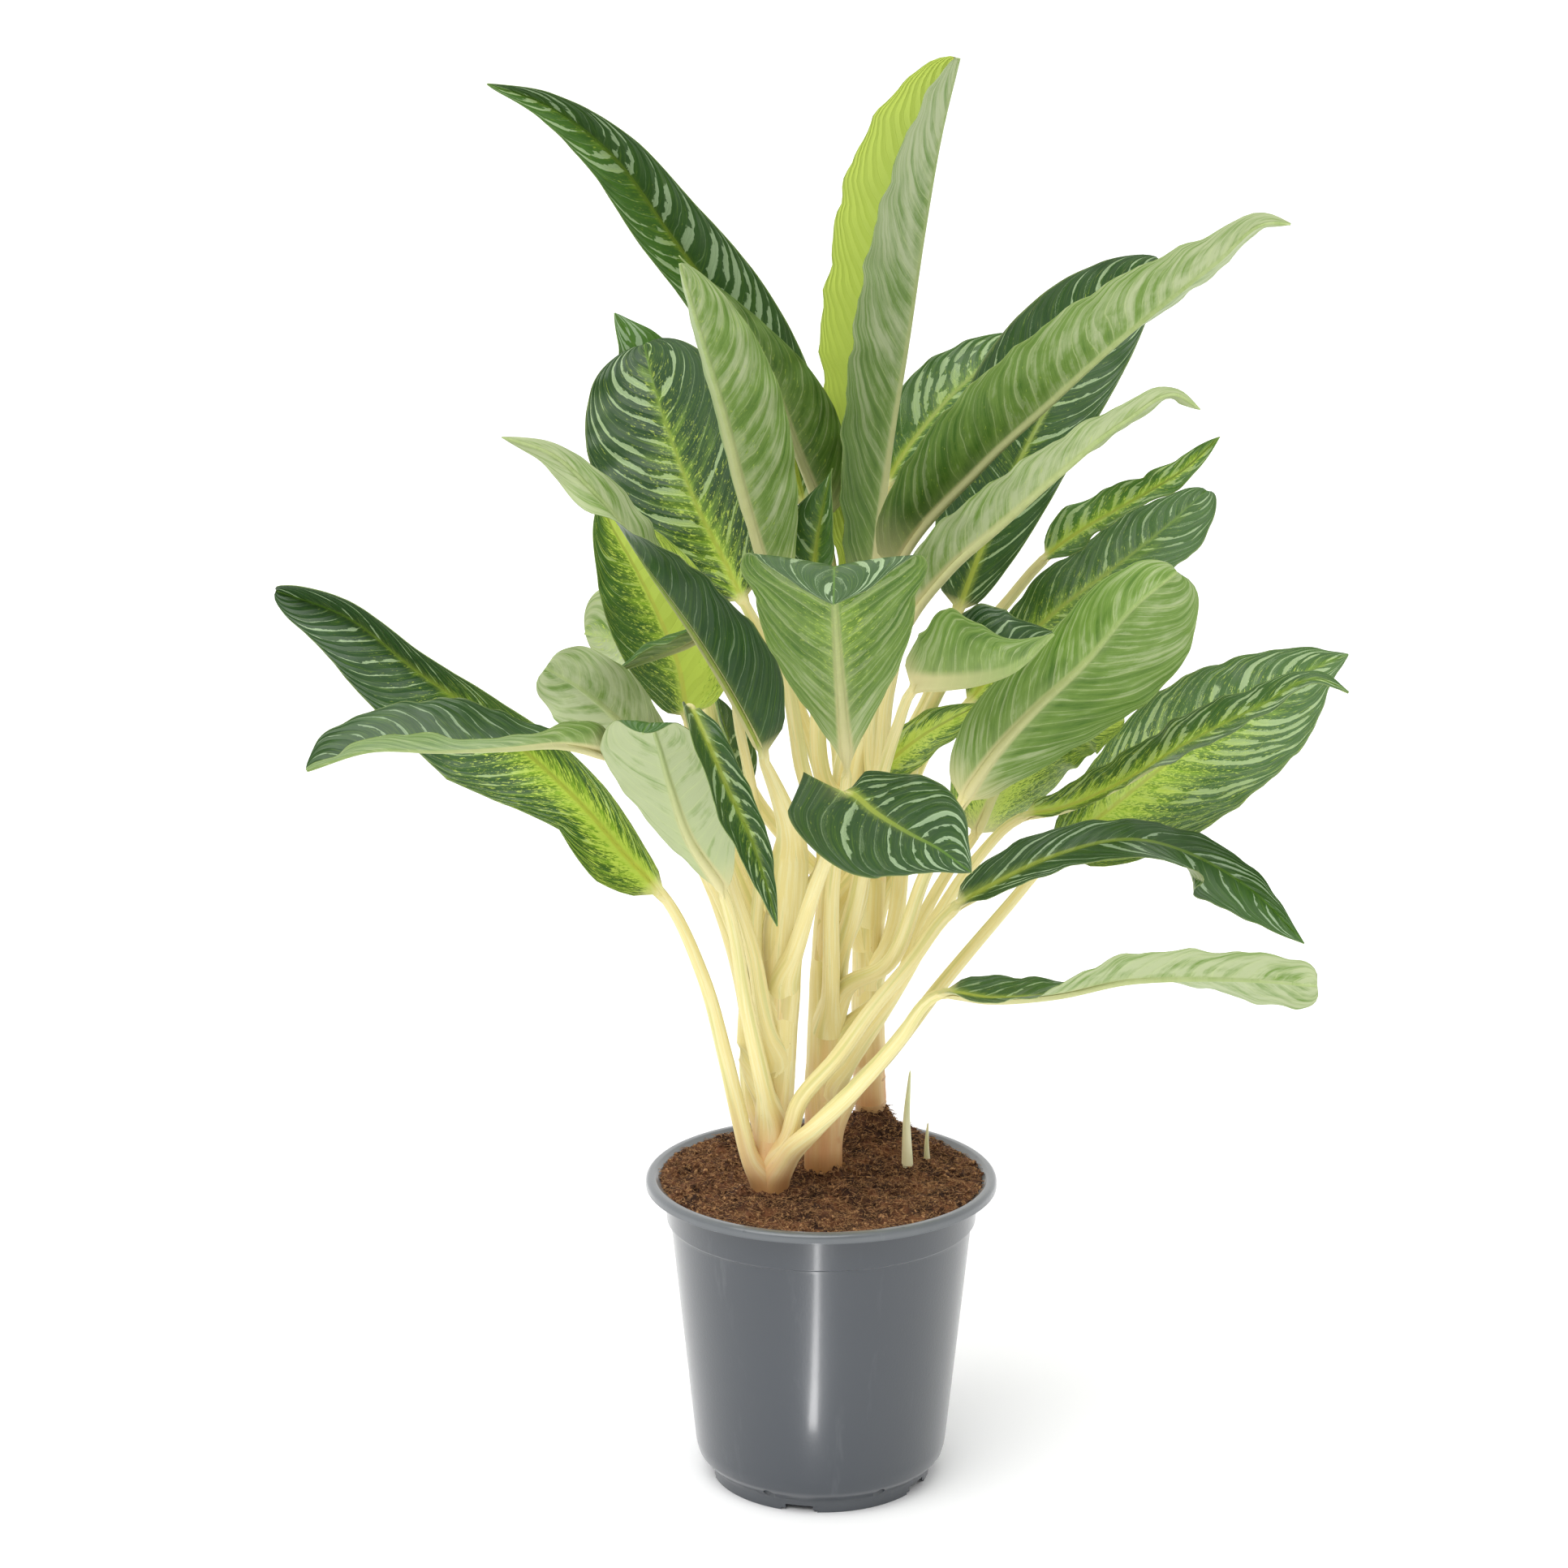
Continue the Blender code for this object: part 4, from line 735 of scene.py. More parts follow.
leaf("right_funnel", "middle", 26, stalk=[(1074, 1010, -4.4), (1088, 950, -5.6), (1106, 893, -6.6)],
     blade=[(1124, 850, -7.2), (1162, 845, -8.6), (1204, 840, -10.2), (1250, 824, -11.8),
            (1298, 780, -13)],
     width=7.4, face=(-0.15, 0.1, 1), foldRight=[62, 70, 62], foldLeft=[78, 78, 40], curl=8,
     wideRight=[0.8, 0.85, 1.0, 0.8, 0.3], wideLeft=[0.7, 0.9, 1.3], silver=0.4, lime=0.2, dark=0.85,
     pale=[0.6, 0.4, 0.4])
leaf("centre_bowed", "middle", 23, stalk=[(1026, 1090, -4.2), (1038, 1000, -6.4)],
     blade=[(1043, 957, -7.5), (1038, 880, -9.5), (1032, 800, -12), (1028, 728, -15), (1028, 698, -17),
            (1027, 745, -20)],
     width=8.4, face=[(0, 1, 0.5), (0, 0.7, 0.8), (0, -0.1, 1)], fold=12, curl=[8, 8, -20], widest=0.76,
     base=1.5, tip=0.85, wideLeft=[1, 1, 0.9, 0.78, 1.05, 1], wideRight=[1, 1, 0.9, 0.78, 1.05, 1],
     silver=1, lime=[0.1, 0.3, 0.4, 0.35, 0.05], dark=0.75, pale=[0.9, 0.5, 0.3, 0.15, 0.0])
leaf("front_heart", "front", 26, stalk=[(998, 1110, -6.6), (1028, 1030, -9)],
     blade=[(1047, 978, -11), (1080, 1002, -13), (1119, 1026, -15.2), (1160, 1048, -17.4),
            (1197, 1075, -19)],
     width=6, face=(-0.6, -0.6, 0.53), fold=5, curl=-15, widest=0.32, base=0.35, tip=0.85, lobeLeft=0.3,
     lobeRight=3.7, wideRight=[1.1, 0.95, 0.75, 0.78], wideLeft=[0.5, 0.72, 0.95, 1.2, 1.2], silver=0.6,
     lime=[0.3, 0.1, 0.0], dark=0.85)
leaf("left_twisted", "front", top, stalk=[(972, 1020, -5.2)],
     blade=[(942, 940, -6.6), (902, 862, -7.5), (855, 785, -8.2), (795, 700, -8.8), (738, 615, -9.4),
            (680, 560, -10), (617, 538, -10.4)],
     width=7,
     face=[(-0.31, -0.9, -0.32), (-0.31, -0.9, -0.32), (-0.31, -0.9, -0.32), (-0.5, -0.6, -0.4),
            (-0.8, 0.1, -0.4), (0, 1, 0.1), (0, 1, 0.1)], foldRight=[-50, -50, -50, -40, -30, -10, 0],
     foldLeft=[-80, -80, -80, -75, -50, -10, 0], curl=8, wideLeft=[0.5, 0.5, 0.6, 0.5, 0.4, 0.5],
     wideRight=[1.1, 0.95, 0.6, 0.5, 0.45, 0.5], silver=0.2, lime=0.12, dark=0.8,
     pale=[0.5, 0.6, 0.8, 1.0])
leaf("left_oval", "middle", 30.5, stalk=[(1008, 940, 3.4), (955, 810, 3.4)],
     blade=[(918, 745, 3.4), (892, 690, 4), (857, 620, 4.6), (828, 545, 5.6), (807, 480, 6.5),
            (793, 424, 7.4)],
     width=8.8, face=(-0.15, -1, 0.3), foldLeft=5, foldRight=22, widest=0.6, tip=0.36, wideLeft=0.95,
     silver=0.65, lime=[0.6, 0.4, 0.3], dark=1)
leaf("left_hidden", "front", 23, stalk=[(900, 1060, 1), (880, 900, 3.5), (853, 790, 5)],
     blade=[(822, 725, 6.4), (805, 640, 7.6), (800, 540, 8.6), (792, 450, 9), (757, 385, 9)],
     width=6.4, face=(0.3, -0.8, 0.5), curl=8, silver=1.5, lime=0, dark=0.1, pale=0.8)
leaf("left_lime", "front", 27, stalk=[(885, 1010, -1)],
     blade=[(848, 887, -0.8), (836, 820, -0.8), (810, 755, -0.8), (780, 695, -0.8), (752, 645, -0.8),
            (738, 612, -0.8)],
     width=6.4, face=(-0.1, -0.9, 0.45), foldLeft=30, foldRight=5, curl=8, wideLeft=[0.8, 1],
     wideRight=[1, 0.8], silver=0.3, limeLeft=0.6, limeRight=[1.7, 1.4, 1.1], darkLeft=0.5, darkRight=0.2)
leaf("left_pale", "back", 26, stalk=[(935, 990, 4.5), (875, 880, 6)],
     blade=[(838, 845, 7), (800, 812, 8), (762, 788, 9), (721, 780, 9.8)],
     width=6.2, face=(-0.2, 0.9, 0.4), fold=5, curl=5, widest=0.65, tip=0.35, silver=0.4, lime=0.4,
     dark=0.4, pale=0.9)
leaf("left_small", "front", 24.1, stalk=[(936, 1040, -3.6), (912, 900, -4.6)],
     blade=[(880, 778, -4.9), (840, 797, -5.4), (800, 812, -5.8), (761, 826, -6.2)],
     width=3, face=(0.2, 0.2, 1), fold=20, stalkRadius=(0.34, 0.22), silver=0.3, lime=0.35)
leaf("left_olive", "front", 18.5, stalk=[(922, 1260, -1.8), (884, 1111, -3.2), (858, 1050, -4.2)],
     blade=[(836, 985, -5.2), (803, 932, -6), (762, 888, -7), (718, 850, -7.8), (672, 822, -8)],
     width=4.8, face=(-0.2, 0.9, 0.5), fold=6, curl=12, widest=0.75, tip=0.25,
     wideLeft=[0.7, 0.7, 0.85, 0.95], wideRight=[0.9, 0.85, 1, 1.1], silver=0.3, lime=0, dark=0.75,
     pale=[0.85, 0.9, 0.9])
leaf("left_grey", "front", 19, stalk=[(918, 1230, -6.2), (905, 1150, -7.2)],
     blade=[(893, 1105, -7.9), (850, 1035, -9), (824, 962, -10.9), (809, 910, -12.9),
            (801, 891, -13.9), (792, 903, -14.9)],
     width=6.6, face=[(0.1, 1, 0.3), (0, 1, 0.5), (0, -0.2, 1)], foldRight=8, foldLeft=5,
     curl=[8, 8, -15], widest=0.6, base=0.95, tip=0.6, wideLeft=[1.2, 1.0, 0.7, 0.7],
     wideRight=[0.5, 0.5, 0.7, 0.92, 0.95], silver=0.3, lime=0, pale=1.1)
leaf("left_hanging", "front", 22,
     stalk=[(930, 1180, -5.2), (900, 1080, -6.4), (876, 985, -7.6), (856, 900, -9.8)],
     blade=[(850, 872, -12.2), (868, 908, -14.2), (899, 979, -14.2), (923, 1029, -14.2),
            (942, 1085, -14), (958, 1142, -14)],
     width=3.4, face=[(0.4, -0.5, 0.9), (0.5, -1, 0.2), (0.5, -1, 0.2)], foldLeft=25, foldRight=25,
     curl=25, wideLeft=0.55, silver=0.6, lime=[0.2, 0.35, 0.3], dark=0.75)
leaf("left_narrow", "front", 25.5, stalk=[(925, 1060, 1.6)],
     blade=[(914, 985, 2.4), (903, 940, 2.8), (893, 900, 3), (881, 857, 3.2)],
     width=3, face=(0.9, -0.4, 0.2), fold=20, lime=0.15, dark=0.7)
leaf("low_left", "front", 15.7, stalk=[(912, 1380, -3.6), (893, 1300, -4.6), (865, 1200, -5.4)],
     blade=[(822, 1110, -5), (772, 1055, -4.5), (725, 1000, -4), (660, 937, -2.5), (590, 880, -1),
            (510, 824, 1), (430, 762, 2.5), (340, 728, 4)],
     width=6.4, face=(0, -0.98, 0.25), foldRight=[45, 55, 62], foldLeft=28, wave=0.2, waves=2, widest=0.5,
     tip=0.5, wideLeft=[1.2, 1.25, 0.75, 1.05, 1.25, 1.1, 1, 1, 1, 1],
     wideRight=[1, 1, 1, 0.9, 0.7, 0.6, 0.6, 0.65, 0.8, 1], silver=0.4,
     lime=[1.0, 0.8, 0.6, 0.35, 0.2, 0.1], dark=[0.5, 0.7, 0.85, 0.9], pale=0.5)
leaf("mid_left", "front", 20, stalk=[(918, 1190, -3.2), (866, 1060, -5), (805, 965, -8)],
     blade=[(752, 932, -10), (690, 917, -11.6), (620, 921, -12.6), (540, 924, -13), (456, 924, -13),
            (377, 949, -12.8)],
     width=5.2, face=[(-0.1, -0.1, 1), (0, -0.4, 0.9), (0, -0.3, 0.95)], foldRight=30, foldLeft=38,
     curl=15, wave=0.25, waves=2, wideRight=[0.5, 0.6, 1, 1], tip=0.6, silver=0.3, lime=0.1, dark=0.75,
     pale=0.45)
leaf("low_right", "front", 16.6,
     stalk=[(985, 1357, -4.4), (1030, 1304, -4.8), (1075, 1242, -5), (1120, 1188, -5.2)],
     blade=[(1173, 1121, -5.4), (1225, 1090, -5.4), (1300, 1055, -5.4), (1390, 1035, -5),
            (1460, 1050, -4), (1535, 1092, -4.5), (1608, 1163, -5.5)],
     width=7.4, face=(-0.1, -0.55, 0.8), foldLeft=25, foldRight=18, curl=12, wave=0.3, waves=1.6,
     wideLeft=[0.45, 0.36, 0.34, 0.33, 0.32, 0.4], wideRight=[0.6, 0.4, 0.3, 0.5, 1.15, 1.3, 1.15, 1],
     stalkRadius=(0.45, 0.32), silver=0.7, lime=[0.3, 0.05, 0.0, 0.0], dark=[0.8, 0.75, 0.5], pale=0.9)
leaf("bottom_right", "front", 15.9, stalk=[(1002, 1390, -5.4), (1060, 1333, -6.6), (1104, 1284, -7.4)],
     blade=[(1157, 1224, -8.5), (1220, 1230, -9.5), (1300, 1225, -10.5), (1390, 1208, -11.5),
            (1470, 1205, -12.5), (1560, 1208, -13.3), (1624, 1214, -14)],
     width=4.6, face=[(0, -0.25, 1), (0, 0.2, 1), (0, 0.7, 0.7), (0, 0.85, 0.5)], fold=10, wave=0.25,
     waves=1.8, stalkRadius=(0.58, 0.3), widest=0.7, base=0.5, tip=0.3,
     wideRight=[1, 0.9, 0.75, 0.75, 0.9, 1], wideLeft=[1, 1, 0.9, 1.1, 1.5, 1.7], silver=0.4,
     lime=[0.35, 0.1, 0.0], dark=0.6, pale=0.9)
leaf("far_right_back", "middle", 17.5, stalk=[(1092, 1300, 1.6), (1158, 1215, 2), (1240, 1118, 2)],
     blade=[(1295, 1055, 2), (1370, 995, 3), (1460, 925, 5), (1545, 872, 7), (1610, 828, 8.5),
            (1662, 806, 9.5)],
     width=9, face=(-0.1, -0.55, 0.85), fold=10, curl=8, wideLeft=[0.5, 0.65, 0.9, 1],
     wideRight=[1.45, 1.25, 1.2, 1], silver=1, lime=[0.9, 0.65, 0.45, 0.3])
leaf("far_right_front", "middle", 19.6, stalk=[(1112, 1205, -2), (1158, 1124, -1), (1205, 1056, -0.6)],
     blade=[(1256, 1008, -1.4), (1310, 996, -1.8), (1380, 966, -3), (1460, 918, -5), (1550, 872, -6.5),
            (1628, 838, -7.6), (1663, 853, -8)],
     width=5.4, face=(0.05, -0.4, 0.9), foldLeft=25, foldRight=12, curl=8, wideLeft=0.6,
     wideRight=[0.3, 0.5, 0.9, 1.1, 1], silver=0.95, lime=[0.9, 0.6, 0.4, 0.3], dark=0.6)
leaf("inner_speckled", "middle", 27, stalk=[(1066, 1050, 1.1), (1074, 990, 1)],
     blade=[(1080, 958, 0.9), (1105, 932, 0.7), (1140, 905, 0.5), (1175, 885, 0.4), (1212, 866, 0.5)],
     width=4.4, face=(-0.1, -0.6, 0.8), wideLeft=0.5, silver=0.8, lime=0.9, dark=0.4)
leaf("furled", "middle", 34, stalk=[(1008, 820, -1.4)],
     blade=[(1003, 710, -2.2), (1008, 660, -2.5), (1016, 618, -2.7), (1025, 577, -2.8)],
     width=3.6, face=(-0.3, -0.9, 0.2), foldLeft=10, foldRight=40, curl=8, widest=0.3, silver=0.6)


def halfWidth(t, widest, base, tip):  # half a blade's width, as a share of its greatest
    if tip is None:  # smooth over the widest place
        tip = base * (1 - widest) / widest
    return (t / widest) ** base * ((1 - t) / (1 - widest)) ** tip * (1 - 0.25 * t**6)


def halfSection(fold, curl, width, lift, steps):  # across one half: distance out, height, slope
    fine = np.linspace(0, 1, 25)
    slope = fold + curl * fine
    run, rise = [np.concatenate([[0], np.cumsum((way[1:] + way[:-1]) / 2 * np.diff(fine))]) * width
                 for way in (np.cos(slope), np.sin(slope))]
    return [np.interp(steps, fine, values) for values in (run, rise + lift * fine**2, slope)]


def bothSides(shape, key, t):  # a value for each half, from base to tip
    return [spread(shape.get(key + side, shape[key]), t) for side in ("Left", "Right")]


def leafLine(shape):  # the places that the midrib and stalk pass, and how many come before the blade
    b = leafBuild
    cane = shape["cane"]
    way = [sight(*point) for point in shape["stalk"]]
    blade = [sight(*point) for point in shape["blade"]]
    axis = np.array(canes[cane]["axis"], float)
    if shape["height"] == top:
        tip = axis[-1]
        foot = [caneAt(cane, tip[2] - b["sheath"] / part)[0] for part in (1, 2)]
        foot += [tip, tip + unit(tip - axis[-2]) * 1.5]
    else:
        height = shape["height"]
        radius = shape["stalkRadius"][0]
        out = (way + blade)[0] - caneAt(cane, height)[0]
        out[2] = 0
        out = unit(out)
        low = max(height - b["sheath"], axis[0, 2] + 1)
        foot = [caneAt(cane, low)[0], caneAt(cane, (low + height) / 2)[0]]
        foot.append(caneAt(cane, height)[0] + out * radius * b["taper"])
        place, thick = caneAt(cane, height + b["rise"])
        foot.append(place + out * (thick + radius * 0.9 + b["clasp"]))
    return np.array(foot + way + blade), len(foot), len(foot) + len(way)


def stalkRadii(shape, line, at, knots, footCount, start):  # the sheath narrows as the line leaves the cane
    b = leafBuild
    onTop = shape["height"] == top
    thick, thin = shape["stalkRadius"]
    if onTop:
        thick = canes[shape["cane"]]["radius"][1] * 0.95
    places = smoothLine(line, at)
    held = [caneAt(shape["cane"], z) for z in places[:, 2]]
    clasped = np.array([radius for _, radius in held]) + b["clasp"] + shape["layer"] * b["layer"]
    offset = np.linalg.norm(places[:, :2] - np.array([place[:2] for place, _ in held]), axis=1)
    loose = knots[footCount - 1]
    free = thick + (thin - thick) * np.clip((at - loose) / (start - loose), 0, 1)
    away = np.clip((at - knots[footCount - 2]) / 2.5 if onTop else offset / (clasped + free), 0, 1)
    away = np.maximum(away, np.clip((at - loose) / 1.5, 0, 1))
    radius = clasped * (1 - away) + free * away
    tuck = np.clip(at / 0.6, 0, 1)  # drawn in at the foot
    return radius * (0.80 + 0.20 * np.sqrt(1 - (1 - tuck) ** 2))


def bladeSection(shape, t, along, wide, stem, halves):  # left half, groove, right half and back by the rib
    b = leafBuild
    out = np.arange(1, b["strips"] + 1) / b["strips"]
    thick = (b["thick"] + (b["edge"] - b["thick"]) * out) / 2
    turn = 2 * math.pi * shape["waves"] * t
    lift = shape["wave"] * min(1, wide)
    full = min(1, wide / 1.5)  # narrow ends stay smooth
    swept = along + shape["sweep"] * np.log(1 - 0.93 * out)
    ripple = b["ripple"] * full * np.cos(2 * math.pi * swept / b["veinSpacing"]) * out
    sides = []
    for sign, phase, (fold, curl, share) in zip((-1, 1), (0, 1.9), halves):
        bent = lift * math.sin(turn + phase)
        reach, height, slope = halfSection(fold, curl, max(wide * share, 1e-3), bent, out)
        swell = b["swell"][0] * math.sin(along * 2.3 + shape["seed"] * 4 + phase)
        swell += b["swell"][1] * math.sin(along * 3.9 + shape["seed"])
        height = height + ripple + swell * full * out**2
        off, up = np.sin(slope) * thick, np.cos(slope) * thick
        sides.append([np.stack([sign * (reach - way * off), height + way * up], 1) for way in (1, -1)])
    rib = max(stem, b["rib"] * (1 - 0.5 * t))
    flank = min(rib * 0.9, max(wide * 0.45, b["ribLeast"]))
    turns = np.linspace(0, math.pi, b["ribPoints"])
    half = b["thick"] / 2
    ridge = np.stack([flank * np.cos(turns), -half - rib * b["ridge"] * np.sin(turns)], 1)
    groove = [(0, half - min(b["groove"], rib * 0.3))]
    (overLeft, underLeft), (overRight, underRight) = sides
    return np.concatenate([overLeft[::-1], groove, overRight, underRight[::-1], ridge, underLeft])


def leafMesh(shape):
    b = leafBuild
    line, footCount, stalkCount = leafLine(shape)
    knots = distances(line)
    rootAt, start, end = knots[footCount - 1], knots[stalkCount], knots[-1]
    steps = 1 - (1 - np.linspace(0, 1, b["bladeRings"] + 1) ** 0.9) ** 1.1
    steps[-1] = 0.998  # the very tip has no width
    if "lobeLeft" in shape:
        steps = np.sort(np.concatenate([steps, b["lobeRings"]]))
    at = np.concatenate([np.linspace(0, rootAt, b["sheathRings"] + 1)[:-1],
                         np.linspace(rootAt, start, b["stalkRings"] + 1)[:-1], start + (end - start) * steps])
    t = np.clip((at - start) / (end - start), 0, 1)
    centre = smoothLine(line, at)
    ahead = unit(smoothLine(line, np.minimum(at + 0.05, end)) - smoothLine(line, np.maximum(at - 0.05, 0)))
    face = np.array(shape["face"], float)
    look = spread(np.tile(face, (2, 1)) if face.ndim == 1 else face, t)
    normal = unit(look - (look * ahead).sum(1, keepdims=True) * ahead)
    across = np.cross(ahead, normal)
    width = shape["width"] / 2 * halfWidth(t, shape["widest"], shape["base"], shape["tip"])
    radius = stalkRadii(shape, line, at, knots, footCount, start) * (1 - 0.72 * t**0.8)
    folds, curls = [[np.radians(v) for v in bothSides(shape, key, t)] for key in ("fold", "curl")]
    halves = list(zip(folds, curls, bothSides(shape, "wide", t)))
    lobes = bothSides(shape, "lobe", t)
    painted = {key: bothSides(shape, key, t) for key in ("silver", "lime", "dark", "pale")}

    # round a ring: upper side from the left margin to the right, then back underneath past the rib
    strips, ribPoints = b["strips"], b["ribPoints"]
    upperCount, lowerCount = 2 * strips + 1, 2 * strips + ribPoints
    around = upperCount + lowerCount
    circle = np.concatenate([np.linspace(165, 15, upperCount), np.linspace(-10, -170, lowerCount)])
    circle = np.radians(circle)
    rounds = np.stack([np.cos(circle), np.sin(circle)], 1)
    flatter = np.repeat((0.25, 0.0), (upperCount, lowerCount))
    under = np.repeat((0.0, 1.0), (upperCount, lowerCount))
    out = np.arange(1, strips + 1) / strips
    sign = np.concatenate([-out[::-1], [0], out, out[::-1], np.zeros(ribPoints), -out])
    shape["sweep"] = b["sweep"] * shape["width"] / 2
    swept = shape["sweep"] * np.log(1 - 0.93 * np.abs(sign))
    lobeWay = unit(line[stalkCount] - line[-1])

    rings = []
    layers = dict(veins=[], blade=[], look=[], tone=[])  # what the material reads
    for i, distance in enumerate(at):
        along = distance - start
        inBlade = distance >= start
        lobed = "lobeLeft" in shape and inBlade
        ring = rounds * radius[i]
        ring[:, 1] *= 1 - flatter * np.clip((distance - rootAt) / 3, 0, 1)  # once clear of the sheath
        back = np.zeros(around)
        grow = 0
        if inBlade:
            grow = min(along / (b["blend"] * (end - start)), 1)
            wide = width[i] * (0.15 + 0.85 * grow)
            here = [(fold[i], curl[i], share[i]) for fold, curl, share in halves]
            section = bladeSection(shape, t[i], along, wide, radius[i], here)
            lobe = np.where(section[:, 0] < 0, lobes[0][i], lobes[1][i])
            reach = np.minimum(np.abs(section[:, 0]) / max(wide, 0.2), 1) ** 1.5
            back = lobe * min(1, t[i] / b["lobeStart"]) * math.exp(-((t[i] / b["lobeFade"]) ** 2)) * reach
            ring = ring * (1 - grow) + section * grow
        rings.append(centre[i] + ring[:, :1] * across[i] + ring[:, 1:] * normal[i] + back[:, None] * lobeWay)
        turn = sign if lobed else sign * grow + (circle / math.pi) * (1 - grow)
        lower = under if lobed else under * grow + (1 - grow)
        silver, lime, dark, pale = [np.where(sign < 0, left[i], right[i]) for left, right in painted.values()]
        stem = (1 - grow) * (1 - lobed * np.abs(sign)) ** 3
        warm = np.clip(1 - distance / max(rootAt, 0.1), 0, 1)
        for key, values in dict(veins=(along + swept * inBlade, turn, shape["seed"]),
                                blade=(t[i], ring[:, 0], lower), look=(silver, lime, dark),
                                tone=(pale, stem, warm)).items():
            layers[key].append(np.stack([np.broadcast_to(v, around) for v in values], 1))
    mesh = loft(shape["name"], np.array(rings))
    for key, values in layers.items():
        layer = mesh.attributes.new(key, "FLOAT_VECTOR", "POINT")
        layer.data.foreach_set("vector", np.array(values, dtype=np.float32).ravel())
    mesh.set_sharp_from_angle(angle=math.radians(b["sharp"]))
    return mesh


leafColours = dict(
    deep=rgb(34, 66, 28), green=rgb(76, 120, 38), silver=rgb(164, 188, 150), lime=rgb(146, 184, 46),
    paintedSheen=rgb(98, 126, 76), speck=rgb(186, 206, 84), rib=rgb(84, 122, 40), ribPale=rgb(190, 196, 80),
    margin=rgb(150, 166, 96), under=rgb(66, 104, 22), underMid=rgb(106, 138, 54),
    underPale=rgb(170, 182, 136), underVein=rgb(190, 204, 140), cream=rgb(214, 206, 152),
    creamTip=rgb(156, 174, 108), stalk=rgb(228, 214, 148), stalkPale=rgb(238, 232, 188),
    stalkGreen=rgb(186, 190, 108), stalkWarm=rgb(214, 162, 112), stalkFoot=rgb(170, 120, 66),
    fleck=rgb(112, 96, 48), glossUpper=(0.30, 0.30, 0.30, 1), glossUnder=(0.44, 0.44, 0.44, 1),
)


